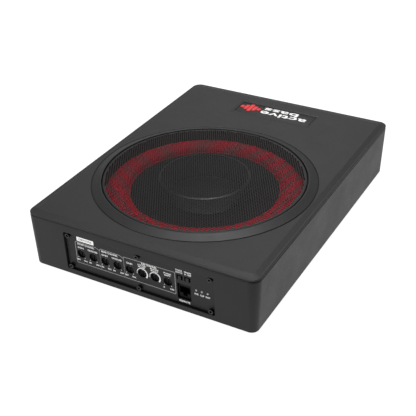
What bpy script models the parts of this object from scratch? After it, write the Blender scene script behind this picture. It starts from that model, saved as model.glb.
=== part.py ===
"""A low-profile powered car subwoofer: a shallow cast box with a ten-inch-class driver under a round
grille, a control panel on the front (-Y) end and a connector panel on the back (+Y) end.

Metres, +Z up. The origin is under the centre of the box, on the surface that its feet stand on.
"""

import math

import bmesh
import bpy
from mathutils import Matrix

MM = 0.001

# ---- driving dimensions -------------------------------------------------------------------------
BODY_WIDTH = 270 * MM  # along X
BODY_LENGTH = 366.6 * MM  # along Y
WALL_HEIGHT = 60.4 * MM  # straight part of the outer wall
DRAFT_INSET = 2.0 * MM  # how far the wall leans in at the bottom
CORNER_RADIUS = 10.4 * MM
WALL = 4.0 * MM
FLOOR = 3.0 * MM
FOOT_HEIGHT = 2.0 * MM
GAP = 0.3 * MM  # clearance between pieces that touch

LIP_HEIGHT = 64.6 * MM  # the flat lip round the cover, above the wall's foot
TOP_HEIGHT = 66.1 * MM  # the flat top, above the wall's foot
COVER_THICKNESS = 3.4 * MM
BEVEL_OUTER = 2.6 * MM  # insets from the box's side
BEVEL_INNER = 8.8 * MM

DRIVER_Y = -39.1 * MM  # the driver's axis
CREASE_RADIUS = 125.2 * MM  # where the raised ring meets the flat top
BEZEL_RADIUS = 114.7 * MM  # the ring's crest
BEZEL_RISE = 3.6 * MM
WELL_RADIUS = 113.9 * MM
LEDGE_RADIUS = 112.0 * MM
BOSS_RADIUS = 122.5 * MM
BOSS_DEPTH = 12.9 * MM

# ---- heights that follow ------------------------------------------------------------------------
SEAM_Z = FOOT_HEIGHT + WALL_HEIGHT + 2.0 * MM  # top of the tub's rim
TOP_Z = FOOT_HEIGHT + TOP_HEIGHT
LIP_Z = FOOT_HEIGHT + LIP_HEIGHT
FLOOR_Z = FOOT_HEIGHT + FLOOR
FLANGE_Z = TOP_Z - BOSS_DEPTH - 1.4 * MM  # top of the basket's flange
DRAFT = math.atan2(DRAFT_INSET, WALL_HEIGHT)

# ---- control panel, in its own frame: u to the right, v up the wall, w out of it ------------------
PANEL_WIDTH = 177.3 * MM
PANEL_HEIGHT = 46.6 * MM
PANEL_MIDDLE = 29.9 * MM  # above the wall's foot
PLATE_DEPTH = 2.8 * MM  # plate face below the wall's face
PLATE_THICKNESS = 1.6 * MM
PLATE_MARGIN = 0.8 * MM  # open joint between a plate's edge and its pocket
FLANGE_BACK = 9.0 * MM  # back of the thickened wall behind a panel
KNOB_PITCH = 15.0 * MM
KNOB_FIRST_U = -70.2 * MM
KNOB_COUNT = 8
KNOB_V = -0.9 * MM
KNOB_RADIUS = 4.4 * MM
KNOB_RECESS = 1.6 * MM  # knob face below the plate's face
SWITCH_US = (48.9 * MM, 57.7 * MM)
SWITCH_V = 9.6 * MM
SWITCH_SLOT = (7.0 * MM, 5.6 * MM)
LEVER = (2.9 * MM, 4.2 * MM, 10.0 * MM)
JACK_U = 53.3 * MM
JACK_V = -7.4 * MM
JACK_WIDTH = 15.0 * MM
JACK_HEIGHT = 18.6 * MM
JACK_RECESS = 2.0 * MM
LED_US = (67.4 * MM, 73.7 * MM, 80.2 * MM)
LED_V = -0.1 * MM
SCREW_US = (-84.0 * MM, 0.8 * MM, 84.0 * MM)
SCREW_V = 19.6 * MM
SCREW_HEAD_RADIUS = 2.75 * MM
SCREW_HEAD_HEIGHT = 2.7 * MM
SCREW_SHANK_RADIUS = 1.45 * MM
SCREW_HOLE_RADIUS = 1.8 * MM
SCREW_LENGTH = 6.0 * MM

# ---- connector panel, in the back wall's frame ----------------------------------------------------
REAR_WIDTH = 150.0 * MM
REAR_HEIGHT = 40.0 * MM
REAR_DEPTH = 6.4 * MM
REAR_FLANGE_BACK = 12.0 * MM
REAR_SCREW_U = 70.5 * MM
REAR_SCREW_V = 15.5 * MM
POWER_U = 46.0 * MM
POWER_V = -7.5 * MM
RCA_U = -38.0 * MM
SIGNAL_U = 2.0 * MM
FUSE_V = 10.0 * MM
FUSE_US = (40.0 * MM, 52.0 * MM)
RCA_PITCH = 14.0 * MM
POWER_BLOCK = (34 * MM, 14 * MM, 16 * MM)
SIGNAL_BLOCK = (18 * MM, 12 * MM, 14 * MM)
FUSE_BLOCK = (26 * MM, 13 * MM, 12 * MM)
RCA_BLOCK = (46 * MM, 28 * MM, 10 * MM)
BOARD_THICKNESS = 1.6 * MM

# ---- badge recess in the cover --------------------------------------------------------------------
BADGE_HALF_WIDTH = 50.5 * MM
BADGE_FRONT_Y = 129.5 * MM
BADGE_BACK_Y = 157.6 * MM
BADGE_SIDE_SLOPE = 3.0 * MM
BADGE_FRONT_SLOPE = 8.5 * MM
BADGE_BACK_SLOPE = 1.6 * MM
BADGE_DEPTH = 2.2 * MM
BADGE_SLOPE_DEPTH = 0.9 * MM  # depth of the sloped margin, above the straight walls

# ---- driver -----------------------------------------------------------------------------------------
CONE_RADIUS = 86.0 * MM
ROLL_OUTER = 109.0 * MM
ROLL_INNER = 84.5 * MM
ROLL_RISE = 7.6 * MM
COIL_RADIUS = 25.5 * MM
MAGNET_RADIUS = 58.0 * MM

BEZEL_STEPS = 56  # facets round the grille's opening
DRIVER_STEPS = 40
MOTOR_STEPS = 30
SMALL_STEPS = 14
HOLE_STEPS = 8

MATERIALS = {
    "textured_black": ((0.030, 0.030, 0.031), 0.55, 0.3),
    "satin_black": ((0.012, 0.012, 0.012), 0.45, 0.0),
    "black_steel": ((0.015, 0.015, 0.016), 0.40, 0.8),
    "black_rubber": ((0.018, 0.018, 0.018), 0.80, 0.0),
    "red_rubber": ((0.560, 0.012, 0.022), 0.45, 0.0),
    "black_paper": ((0.014, 0.014, 0.014), 0.75, 0.0),
    "ferrite": ((0.060, 0.058, 0.056), 0.70, 0.1),
    "zinc": ((0.550, 0.550, 0.540), 0.35, 1.0),
    "aluminium": ((0.700, 0.700, 0.710), 0.40, 1.0),
    "copper": ((0.720, 0.310, 0.160), 0.35, 1.0),
    "kapton": ((0.420, 0.220, 0.060), 0.45, 0.0),
    "cotton": ((0.500, 0.350, 0.150), 0.90, 0.0),
    "circuit_green": ((0.010, 0.110, 0.045), 0.45, 0.0),
    "clear_lens": ((0.620, 0.620, 0.600), 0.20, 0.0),
    "fuse_orange": ((0.800, 0.240, 0.020), 0.35, 0.0),
    "sleeve_blue": ((0.020, 0.035, 0.110), 0.40, 0.0),
}


# ---- helpers ----------------------------------------------------------------------------------------
def clear_scene():
    for obj in list(bpy.data.objects):
        bpy.data.objects.remove(obj, do_unlink=True)


def material(name):
    found = bpy.data.materials.get(name)
    if found:
        return found
    colour, roughness, metallic = MATERIALS[name]
    made = bpy.data.materials.new(name)
    made.use_nodes = True
    made.diffuse_color = (*colour, 1.0)
    shader = made.node_tree.nodes["Principled BSDF"]
    shader.inputs["Base Color"].default_value = (*colour, 1.0)
    shader.inputs["Roughness"].default_value = roughness
    shader.inputs["Metallic"].default_value = metallic
    return made


def frame(name, matrix):
    """An empty that a panel's pieces hang on."""
    empty = bpy.data.objects.new(name, None)
    empty.matrix_world = matrix
    bpy.context.collection.objects.link(empty)
    return empty


def place(name, mesh, location=(0, 0, 0), parent=None):
    obj = bpy.data.objects.new(name, mesh)
    bpy.context.collection.objects.link(obj)
    obj.parent = parent
    obj.location = location
    return obj


def mesh_from(name, bm, finish):
    bmesh.ops.recalc_face_normals(bm, faces=bm.faces)
    mesh = bpy.data.meshes.new(name)
    bm.to_mesh(mesh)
    bm.free()
    mesh.materials.append(material(finish))
    mesh.shade_smooth()
    mesh.set_sharp_from_angle(angle=math.radians(35))
    return mesh


def skin(bm, loops, closed):
    """Faces between neighbouring loops of points, with end caps or, if closed, back to the first loop."""
    rows = [[bm.verts.new(point) for point in loop] for loop in loops]
    pairs = list(zip(rows, rows[1:]))
    if closed:
        pairs.append((rows[-1], rows[0]))
    for lower, upper in pairs:
        count = len(lower)
        for i in range(count):
            bm.faces.new((lower[i], lower[(i + 1) % count], upper[(i + 1) % count], upper[i]))
    if not closed:
        bm.faces.new(rows[0])
        bm.faces.new(rows[-1])


def stacked(name, loops, finish, closed=False):
    bm = bmesh.new()
    skin(bm, loops, closed)
    return mesh_from(name, bm, finish)


def turned(name, profile, finish, steps):
    """A solid of revolution about Z from a closed profile of (radius, height) points."""
    bm = bmesh.new()
    rings = []
    for radius, height in profile:
        if radius == 0:
            rings.append([bm.verts.new((0, 0, height))])
            continue
        angles = [2 * math.pi * i / steps for i in range(steps)]
        rings.append([bm.verts.new((radius * math.cos(a), radius * math.sin(a), height)) for a in angles])
    for lower, upper in zip(rings, rings[1:] + rings[:1]):
        if len(lower) == 1 and len(upper) == 1:
            continue
        for i in range(steps):
            j = (i + 1) % steps
            low_pair = [lower[i % len(lower)], lower[j % len(lower)]]
            high_pair = [upper[j % len(upper)], upper[i % len(upper)]]
            bm.faces.new(list(dict.fromkeys(low_pair + high_pair)))
    return mesh_from(name, bm, finish)


def box_mesh(name, size, finish, centre=(0, 0, 0), chamfer=0.0):
    bm = bmesh.new()
    bmesh.ops.create_cube(bm, size=1.0, matrix=Matrix.Translation(centre) @ Matrix.Diagonal((*size, 1.0)))
    if chamfer:
        bmesh.ops.bevel(bm, geom=bm.edges[:], offset=chamfer, segments=1, affect="EDGES")
    return mesh_from(name, bm, finish)


def rounded_rectangle(half_x, half_y, radius, z, corner_steps=5):
    """One loop of points round a rectangle with round corners."""
    points = []
    for quarter, (sx, sy) in enumerate(((1, 1), (-1, 1), (-1, -1), (1, -1))):
        for i in range(corner_steps + 1):
            angle = math.pi / 2 * (quarter + i / corner_steps)
            x = sx * (half_x - radius) + radius * math.cos(angle)
            y = sy * (half_y - radius) + radius * math.sin(angle)
            points.append((x, y, z))
    return points


def body_loop(inset, z, radius=None):
    """A loop round the box, this far in from its widest outline."""
    corner = max(CORNER_RADIUS - inset, 1.0 * MM) if radius is None else radius
    return rounded_rectangle(BODY_WIDTH / 2 - inset, BODY_LENGTH / 2 - inset, corner, z)


def helper(obj):
    """Marks an object as a tool that shapes another and isn't a piece itself."""
    obj.hide_render = True
    obj.display_type = "WIRE"
    return obj


def shape_by(obj, tool, operation):
    modifier = obj.modifiers.new(tool.name, "BOOLEAN")
    modifier.operation = operation
    modifier.object = helper(tool)
    modifier.solver = "EXACT"


def cut(obj, tool):
    shape_by(obj, tool, "DIFFERENCE")


def join(obj, tool):
    shape_by(obj, tool, "UNION")


def rod(name, radius, low, high, finish="satin_black", steps=SMALL_STEPS):
    return turned(name, [(0, low), (radius, low), (radius, high), (0, high)], finish, steps)


def arc(centre_r, centre_z, radius_r, radius_z, start, end, steps):
    """Points of an ellipse's arc in a profile, from one angle in degrees to another."""
    angles = [math.radians(start + (end - start) * i / steps) for i in range(steps + 1)]
    return [(centre_r + radius_r * math.cos(a), centre_z + radius_z * math.sin(a)) for a in angles]


# ---- frames of the two end walls ----------------------------------------------------------------------
def wall_frame(name, side):
    """Origin on the outer wall at the panel's middle. side is -1 for the front wall and 1 for the back."""
    lean = DRAFT_INSET * (1 - PANEL_MIDDLE / WALL_HEIGHT)
    right = (-side, 0, 0)
    up = (0, side * math.sin(DRAFT), math.cos(DRAFT))
    out = (0, side * math.cos(DRAFT), -math.sin(DRAFT))
    middle = (0, side * (BODY_LENGTH / 2 - lean), FOOT_HEIGHT + PANEL_MIDDLE)
    rows = [(right[i], up[i], out[i], middle[i]) for i in range(3)]
    return frame(name, Matrix((*rows, (0, 0, 0, 1))))


# ---- housing --------------------------------------------------------------------------------------------
def housing_tub(front, back):
    foot_chamfer = 1.0 * MM
    rim = 2.0 * MM  # radius of the rim's outer edge
    wall_top = FOOT_HEIGHT + WALL_HEIGHT
    loops = [
        body_loop(DRAFT_INSET + foot_chamfer, FOOT_HEIGHT),
        body_loop(DRAFT_INSET, FOOT_HEIGHT + foot_chamfer),
        body_loop(0, wall_top),
        body_loop(rim * 0.13, wall_top + rim * 0.5),
        body_loop(rim * 0.5, wall_top + rim * 0.87),
        body_loop(rim, SEAM_Z),
        body_loop(WALL, SEAM_Z),
        body_loop(WALL + DRAFT_INSET, FLOOR_Z),
    ]
    tub = place("housing_tub", stacked("housing_tub", loops, "textured_black"))
    panels = (
        ("front", front, PANEL_WIDTH, PANEL_HEIGHT, PLATE_DEPTH, FLANGE_BACK, (11 * MM, 15 * MM)),
        ("back", back, REAR_WIDTH, REAR_HEIGHT, REAR_DEPTH, REAR_FLANGE_BACK, (19 * MM, 6 * MM)),
    )
    for end, parent, width, height, depth, flange_back, seat in panels:
        pad_size = (width + 7 * MM, height + 6 * MM, flange_back - 1.5 * MM)
        pad = box_mesh(f"{end}_pad", pad_size, "textured_black", (0, 0, -1.5 * MM - pad_size[2] / 2))
        join(tub, place(f"tool_{end}_pad", pad, parent=parent))
    for end, parent, width, height, depth, flange_back, seat in panels:
        pocket_depth = depth + PLATE_THICKNESS + GAP
        pocket_loops = [
            rounded_rectangle(width / 2, height / 2, 2.0 * MM, -pocket_depth, 3),
            rounded_rectangle(width / 2, height / 2, 2.0 * MM, 5 * MM, 3),
        ]
        pocket = stacked(f"{end}_pocket", pocket_loops, "textured_black")
        cut(tub, place(f"tool_{end}_pocket", pocket, parent=parent))
        way_size = (width - seat[0], height - seat[1], flange_back + 8 * MM)
        way = box_mesh(f"{end}_way", way_size, "textured_black", (0, 0, -way_size[2] / 2 - 3 * MM))
        cut(tub, place(f"tool_{end}_way", way, parent=parent))
    notch = box_mesh("jack_notch", (JACK_WIDTH + 3 * MM, JACK_HEIGHT + 2 * MM, 14 * MM), "textured_black")
    cut(tub, place("tool_jack_notch", notch, (JACK_U, JACK_V, -9 * MM), front))
    screw_hole = rod("screw_hole", SCREW_HOLE_RADIUS, -16 * MM, 0, "textured_black", HOLE_STEPS)
    for i, (u, v) in enumerate(front_screws()):
        cut(tub, place(f"tool_front_screw_{i}", screw_hole, (u, v, 0), front))
    for i, (u, v) in enumerate(rear_screws()):
        cut(tub, place(f"tool_back_screw_{i}", screw_hole, (u, v, 0), back))
    seat = rod("foot_seat", 8.4 * MM, -2 * MM, 0.8 * MM, "textured_black")
    for i, (x, y) in enumerate(foot_places()):
        cut(tub, place(f"tool_foot_{i}", seat, (x, y, FOOT_HEIGHT)))


def foot_places():
    return [(sx * 112 * MM, sy * 158 * MM) for sx in (-1, 1) for sy in (-1, 1)]


def feet():
    profile = [(0, 0), (7.2 * MM, 0), (8 * MM, 0.8 * MM), (8 * MM, 2.5 * MM), (0, 2.5 * MM)]
    mesh = turned("foot", profile, "black_rubber", SMALL_STEPS)
    for i, (x, y) in enumerate(foot_places()):
        place(f"foot_{i + 1}", mesh, (x, y, 0))


def top_cover():
    underside = TOP_Z - COVER_THICKNESS
    edge = 1.0 * MM
    loops = [
        body_loop(0.7 * MM, underside),
        body_loop(0, underside + 0.4 * MM),
        body_loop(0, LIP_Z - edge),
        body_loop(edge * 0.3, LIP_Z - edge * 0.3),
        body_loop(edge, LIP_Z),
        body_loop(BEVEL_OUTER, LIP_Z),
        body_loop(BEVEL_INNER, TOP_Z, 4.0 * MM),
    ]
    cover = place("top_cover", stacked("top_cover", loops, "textured_black"))
    groove = 0.8 * MM
    opening = [
        (0, -8 * MM),
        (117 * MM, -8 * MM),
        (117 * MM, -groove),
        (CREASE_RADIUS - 0.3 * MM, -groove),
        (CREASE_RADIUS + 0.5 * MM, 0.2 * MM),
        (CREASE_RADIUS + 0.5 * MM, 8 * MM),
        (0, 8 * MM),
    ]
    hole = turned("driver_opening", opening, "textured_black", BEZEL_STEPS)
    cut(cover, place("tool_driver_opening", hole, (0, DRIVER_Y, TOP_Z)))
    ring_foot = CREASE_RADIUS - 0.7 * MM
    bezel = [
        (ring_foot, -1.6 * MM),
        (ring_foot, 0),
        (BEZEL_RADIUS + 1.2 * MM, BEZEL_RISE - 0.25 * MM),
        (BEZEL_RADIUS, BEZEL_RISE),
        (WELL_RADIUS + 0.2 * MM, BEZEL_RISE - 0.3 * MM),
        (WELL_RADIUS, BEZEL_RISE - 0.8 * MM),
        (WELL_RADIUS, -2.0 * MM),
        (LEDGE_RADIUS, -2.0 * MM),
        (LEDGE_RADIUS, -BOSS_DEPTH),
        (BOSS_RADIUS, -BOSS_DEPTH),
        (BOSS_RADIUS, -1.6 * MM),
    ]
    ring = turned("bezel_ring", bezel, "textured_black", BEZEL_STEPS)
    join(cover, place("tool_bezel_ring", ring, (0, DRIVER_Y, TOP_Z)))
    cut(cover, place("tool_badge_recess", badge_recess()))


def badge_recess():
    """The badge's recess: a sloped margin, gentlest towards the driver, round straight walls."""
    over = 1.5 * MM
    grow = (BADGE_SLOPE_DEPTH + over) / BADGE_SLOPE_DEPTH
    half = BADGE_HALF_WIDTH
    low = [
        (half, BADGE_FRONT_Y),
        (half, BADGE_BACK_Y),
        (-half, BADGE_BACK_Y),
        (-half, BADGE_FRONT_Y),
    ]
    wide = half + BADGE_SIDE_SLOPE * grow
    front = BADGE_FRONT_Y - BADGE_FRONT_SLOPE * grow
    back = BADGE_BACK_Y + BADGE_BACK_SLOPE * grow
    high = [(wide, front), (wide, back), (-wide, back), (-wide, front)]
    loops = [
        [(x, y, TOP_Z - BADGE_DEPTH) for x, y in low],
        [(x, y, TOP_Z - BADGE_SLOPE_DEPTH) for x, y in low],
        [(x, y, TOP_Z + over) for x, y in high],
    ]
    return stacked("badge_recess", loops, "textured_black")


def badge_plate():
    thickness = 0.8 * MM
    width = 2 * (BADGE_HALF_WIDTH - 0.5 * MM)
    depth = BADGE_BACK_Y - BADGE_FRONT_Y - 1.0 * MM
    middle = (BADGE_FRONT_Y + BADGE_BACK_Y) / 2
    mesh = box_mesh("badge_plate", (width, depth, thickness), "satin_black", chamfer=0.15 * MM)
    place("badge_plate", mesh, (0, middle, TOP_Z - BADGE_DEPTH + GAP + thickness / 2))


def grille():
    """A steel disc with a turned-down rim and a raised round field in its middle."""
    face = 3.0 * MM
    sheet = 0.8 * MM
    field = 0.8 * MM
    rim = WELL_RADIUS - 0.8 * MM
    profile = [
        (0, face + field),
        (48.6 * MM, face + field),
        (50.4 * MM, face),
        (rim - 1.2 * MM, face),
        (rim, face - 1.2 * MM),
        (rim, -1.7 * MM),
        (rim - sheet, -1.7 * MM),
        (rim - sheet, face - 1.6 * MM),
        (rim - 1.6 * MM, face - sheet),
        (50.2 * MM, face - sheet),
        (48.4 * MM, face - sheet + field),
        (0, face - sheet + field),
    ]
    mesh = turned("grille", profile, "black_steel", BEZEL_STEPS)
    place("grille", mesh, (0, DRIVER_Y, TOP_Z))


# ---- driver, about its own axis -------------------------------------------------------------------------
def driver_gasket():
    profile = [
        (112.6 * MM, FLANGE_Z + GAP),
        (120 * MM, FLANGE_Z + GAP),
        (120 * MM, FLANGE_Z + 1.1 * MM),
        (112.6 * MM, FLANGE_Z + 1.1 * MM),
    ]
    mesh = turned("driver_gasket", profile, "black_rubber", DRIVER_STEPS)
    place("driver_gasket", mesh, (0, DRIVER_Y, 0))


def basket():
    """Pressed steel: an outer flange, a windowed skirt, a ledge for the spider and a seat on the motor."""
    sheet = 1.4 * MM
    inner = [
        (107.5 * MM, FLANGE_Z),
        (100.0 * MM, 43.5 * MM),
        (64.0 * MM, 37.6 * MM),
        (52.0 * MM, 37.6 * MM),
        (48.0 * MM, 33.2 * MM),
        (34.0 * MM, 33.2 * MM),
    ]
    outer = [
        (34.0 * MM, 33.2 * MM - sheet),
        (49.2 * MM, 33.2 * MM - sheet),
        (53.0 * MM, 37.6 * MM - sheet),
        (64.4 * MM, 37.6 * MM - sheet),
        (101.0 * MM, 43.5 * MM - sheet),
        (108.0 * MM, FLANGE_Z - 1.6 * MM),
        (120.0 * MM, FLANGE_Z - 1.6 * MM),
        (120.0 * MM, FLANGE_Z),
    ]
    mesh = turned("basket", inner + outer, "black_steel", DRIVER_STEPS)
    body = place("basket", mesh, (0, DRIVER_Y, 0))
    windows = 6
    for i in range(windows):
        window = box_mesh("basket_window", (22 * MM, 46 * MM, 24 * MM), "black_steel", chamfer=4 * MM)
        tool = place(f"tool_window_{i}", window)
        angle = 2 * math.pi * (i + 0.5) / windows
        middle = 82 * MM
        tool.location = (middle * math.cos(angle), DRIVER_Y + middle * math.sin(angle), 42 * MM)
        tool.rotation_euler = (0, 0, angle)
        cut(body, tool)


def surround():
    """A half roll of rubber between the basket's flange and the cone."""
    sheet = 1.0 * MM
    base = FLANGE_Z + GAP
    middle = (ROLL_OUTER + ROLL_INNER) / 2
    reach = (ROLL_OUTER - ROLL_INNER) / 2
    upper = arc(middle, base + sheet, reach, ROLL_RISE, 0, 180, 6)
    under = arc(middle, base, reach - sheet, ROLL_RISE, 180, 0, 6)
    lip = [(111.6 * MM, base), (111.6 * MM, base + 0.7 * MM)]
    inner_lip = [(83.0 * MM, base + sheet), (83.0 * MM, base)]
    mesh = turned("surround", lip + upper + inner_lip + under, "red_rubber", DRIVER_STEPS)
    place("surround", mesh, (0, DRIVER_Y, 0))


def cone():
    thickness = 1.0 * MM
    rim_z = FLANGE_Z
    neck_z = 42.5 * MM
    neck = COIL_RADIUS + GAP
    profile = [
        (CONE_RADIUS - 2 * MM, rim_z),
        (CONE_RADIUS - 8 * MM, rim_z),
        (CONE_RADIUS - 12 * MM, rim_z - 2 * MM),
        (neck, neck_z),
        (neck, neck_z - 1.6 * MM),
        (CONE_RADIUS - 11.5 * MM, rim_z - 2 * MM - thickness),
        (CONE_RADIUS - 7.6 * MM, rim_z - thickness),
        (CONE_RADIUS - 2 * MM, rim_z - thickness),
    ]
    mesh = turned("cone", profile, "black_paper", DRIVER_STEPS)
    place("cone", mesh, (0, DRIVER_Y, 0))


def dust_cap():
    """A shallow dome glued on the cone over the voice coil."""
    thickness = 0.8 * MM
    radius = 42 * MM
    rise = 6 * MM
    base = 46.0 * MM
    upper = arc(0, base, radius, rise, 0, 90, 4)
    under = arc(0, base, radius - thickness, rise - thickness, 90, 0, 4)
    profile = upper[:-1] + [(0, base + rise), (0, base + rise - thickness)] + under[1:]
    mesh = turned("dust_cap", profile, "black_paper", MOTOR_STEPS)
    place("dust_cap", mesh, (0, DRIVER_Y, 0))


def voice_coil():
    former = [
        (COIL_RADIUS - 0.6 * MM, 19.5 * MM),
        (COIL_RADIUS, 19.5 * MM),
        (COIL_RADIUS, 42.0 * MM),
        (COIL_RADIUS - 0.6 * MM, 42.0 * MM),
    ]
    winding = [
        (COIL_RADIUS + GAP, 20.5 * MM),
        (COIL_RADIUS + 1.7 * MM, 20.5 * MM),
        (COIL_RADIUS + 1.7 * MM, 34.5 * MM),
        (COIL_RADIUS + GAP, 34.5 * MM),
    ]
    place("voice_coil_former", turned("voice_coil_former", former, "kapton", MOTOR_STEPS), (0, DRIVER_Y, 0))
    place("voice_coil", turned("voice_coil", winding, "copper", MOTOR_STEPS), (0, DRIVER_Y, 0))


def spider():
    """A corrugated cotton disc that centres the coil."""
    inner = COIL_RADIUS + GAP
    outer = 62.0 * MM
    sheet = 0.6 * MM
    level = 38.4 * MM
    swing = 1.1 * MM
    waves = 4
    count = waves * 2
    radii = [inner + (outer - inner) * i / count for i in range(count + 1)]
    heights = [level + swing * (i % 2) for i in range(count + 1)]
    upper = [(r, z + sheet) for r, z in zip(radii, heights)][::-1]
    under = list(zip(radii, heights))
    mesh = turned("spider", upper + under, "cotton", MOTOR_STEPS)
    place("spider", mesh, (0, DRIVER_Y, 0))


def motor():
    plate_low = 26.0 * MM
    plate_high = 31.4 * MM
    yoke_high = 11.0 * MM
    top_plate = [
        (COIL_RADIUS + 2.7 * MM, plate_low),
        (52 * MM, plate_low),
        (52 * MM, plate_high),
        (COIL_RADIUS + 2.7 * MM, plate_high),
    ]
    magnet = [
        (34 * MM, yoke_high + GAP),
        (MAGNET_RADIUS, yoke_high + GAP),
        (MAGNET_RADIUS, plate_low - GAP),
        (34 * MM, plate_low - GAP),
    ]
    pole = COIL_RADIUS - 1.6 * MM
    vent = 6 * MM
    yoke = [
        (vent, 6.4 * MM),
        (52 * MM, 6.4 * MM),
        (54 * MM, 8.0 * MM),
        (54 * MM, yoke_high),
        (pole, yoke_high),
        (pole, plate_high),
        (vent, plate_high),
    ]
    axis = (0, DRIVER_Y, 0)
    place("motor_top_plate", turned("motor_top_plate", top_plate, "zinc", MOTOR_STEPS), axis)
    place("magnet", turned("magnet", magnet, "ferrite", MOTOR_STEPS), axis)
    place("pole_yoke", turned("pole_yoke", yoke, "zinc", MOTOR_STEPS), axis)


# ---- screws ---------------------------------------------------------------------------------------------
def front_screws():
    return [(u, v) for v in (SCREW_V, -SCREW_V) for u in SCREW_US]


def rear_screws():
    return [(u, v) for v in (REAR_SCREW_V, -REAR_SCREW_V) for u in (-REAR_SCREW_U, REAR_SCREW_U)]


def hexagon(flat, z, steps):
    """A loop round a hexagon, this far from centre to flat, with a point on each spoke."""
    points = []
    for i in range(steps):
        angle = 2 * math.pi * i / steps
        off = (angle + math.pi / 6) % (math.pi / 3) - math.pi / 6
        radius = flat / math.cos(off)
        points.append((radius * math.cos(angle), radius * math.sin(angle), z))
    return points


def circle(radius, z, steps):
    angles = [2 * math.pi * i / steps for i in range(steps)]
    return [(radius * math.cos(a), radius * math.sin(a), z) for a in angles]


def cap_screw():
    """A socket head cap screw, its head's underside at 0 and its head towards +Z."""
    steps = 12
    chamfer = 0.35 * MM
    loops = [
        circle(SCREW_SHANK_RADIUS, -SCREW_LENGTH, steps),
        circle(SCREW_SHANK_RADIUS, 0, steps),
        circle(SCREW_HEAD_RADIUS, 0, steps),
        circle(SCREW_HEAD_RADIUS, SCREW_HEAD_HEIGHT - chamfer, steps),
        circle(SCREW_HEAD_RADIUS - chamfer, SCREW_HEAD_HEIGHT, steps),
        hexagon(1.25 * MM, SCREW_HEAD_HEIGHT, steps),
        hexagon(1.25 * MM, SCREW_HEAD_HEIGHT - 1.6 * MM, steps),
    ]
    return stacked("cap_screw", loops, "black_steel")


# ---- control end ----------------------------------------------------------------------------------------
def plate_blank(name, width, height, depth):
    """A panel plate that fits its pocket, its face this far below the wall's face."""
    half_x = width / 2 - PLATE_MARGIN
    half_y = height / 2 - PLATE_MARGIN
    levels = (-depth - PLATE_THICKNESS, -depth)
    loops = [rounded_rectangle(half_x, half_y, 1.2 * MM, level, 3) for level in levels]
    return stacked(name, loops, "satin_black")


def control_plate(front):
    blank = plate_blank("control_plate", PANEL_WIDTH, PANEL_HEIGHT, PLATE_DEPTH)
    plate = place("control_plate", blank, parent=front)
    far = 8 * MM
    knob_hole = rod("knob_hole", KNOB_RADIUS + 0.5 * MM, -far, far)
    for i in range(KNOB_COUNT):
        u = KNOB_FIRST_U + i * KNOB_PITCH
        cut(plate, place(f"tool_knob_hole_{i}", knob_hole, (u, KNOB_V, 0), front))
    slot = box_mesh("switch_slot", (*SWITCH_SLOT, 2 * far), "satin_black")
    for i, u in enumerate(SWITCH_US):
        cut(plate, place(f"tool_switch_slot_{i}", slot, (u, SWITCH_V, 0), front))
    window = box_mesh("jack_window", (JACK_WIDTH + 2 * GAP, JACK_HEIGHT + 2 * GAP, 2 * far), "satin_black")
    cut(plate, place("tool_jack_window", window, (JACK_U, JACK_V, 0), front))
    led_hole = rod("led_hole", 1.6 * MM, -far, far, steps=HOLE_STEPS)
    for i, u in enumerate(LED_US):
        cut(plate, place(f"tool_led_hole_{i}", led_hole, (u, LED_V, 0), front))
    screw_hole = rod("plate_screw_hole", SCREW_HOLE_RADIUS, -far, far, steps=HOLE_STEPS)
    for i, (u, v) in enumerate(front_screws()):
        cut(plate, place(f"tool_plate_screw_{i}", screw_hole, (u, v, 0), front))


def knobs(front):
    """Each knob turns about its own origin: a round cap with a screwdriver slot, on a stem."""
    face = -PLATE_DEPTH - KNOB_RECESS
    stem = 3.0 * MM
    profile = [
        (0, face),
        (KNOB_RADIUS - 0.4 * MM, face),
        (KNOB_RADIUS, face - 0.4 * MM),
        (KNOB_RADIUS, face - 4.0 * MM),
        (stem, face - 4.0 * MM),
        (stem, -13.0 * MM),
        (0, -13.0 * MM),
    ]
    cap = turned("knob", profile, "satin_black", SMALL_STEPS)
    slot = box_mesh("knob_slot", (1.1 * MM, 6.4 * MM, 1.6 * MM), "satin_black")
    for i in range(KNOB_COUNT):
        u = KNOB_FIRST_U + i * KNOB_PITCH
        knob = place(f"knob_{i + 1}", cap, (u, KNOB_V, 0), front)
        cut(knob, place(f"tool_knob_slot_{i}", slot, (u, KNOB_V, face), front))


def switches(front):
    face = -PLATE_DEPTH + 0.7 * MM
    for i, u in enumerate(SWITCH_US):
        lever = box_mesh("switch_lever", LEVER, "satin_black", (0, 0, face - LEVER[2] / 2))
        place(f"slide_switch_{i + 1}", lever, (u, SWITCH_V, 0), front)


def remote_jack(front):
    """A modular socket with an open mouth and a latch slot above it."""
    face = -PLATE_DEPTH - JACK_RECESS
    depth = 10.0 * MM
    size = (JACK_WIDTH, JACK_HEIGHT, depth)
    body = box_mesh("remote_jack", size, "satin_black", (0, 0, face - depth / 2))
    jack = place("remote_jack", body, (JACK_U, JACK_V, 0), front)
    mouth = box_mesh("jack_mouth", (11.8 * MM, 8.2 * MM, 16 * MM), "satin_black")
    cut(jack, place("tool_jack_mouth", mouth, (JACK_U, JACK_V + 1.0 * MM, face), front))
    latch = box_mesh("jack_latch", (5.0 * MM, 4.0 * MM, 16 * MM), "satin_black")
    cut(jack, place("tool_jack_latch", latch, (JACK_U, JACK_V - 4.4 * MM, face), front))


def leds(front):
    dome = arc(0, -PLATE_DEPTH + 0.1 * MM, 1.2 * MM, 0.7 * MM, 0, 90, 2)
    profile = [(0, -13.0 * MM), (1.2 * MM, -13.0 * MM)] + dome[:-1] + [(0, -PLATE_DEPTH + 0.8 * MM)]
    mesh = turned("led", profile, "clear_lens", HOLE_STEPS)
    for i, u in enumerate(LED_US):
        place(f"led_{i + 1}", mesh, (u, LED_V, 0), front)


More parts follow.
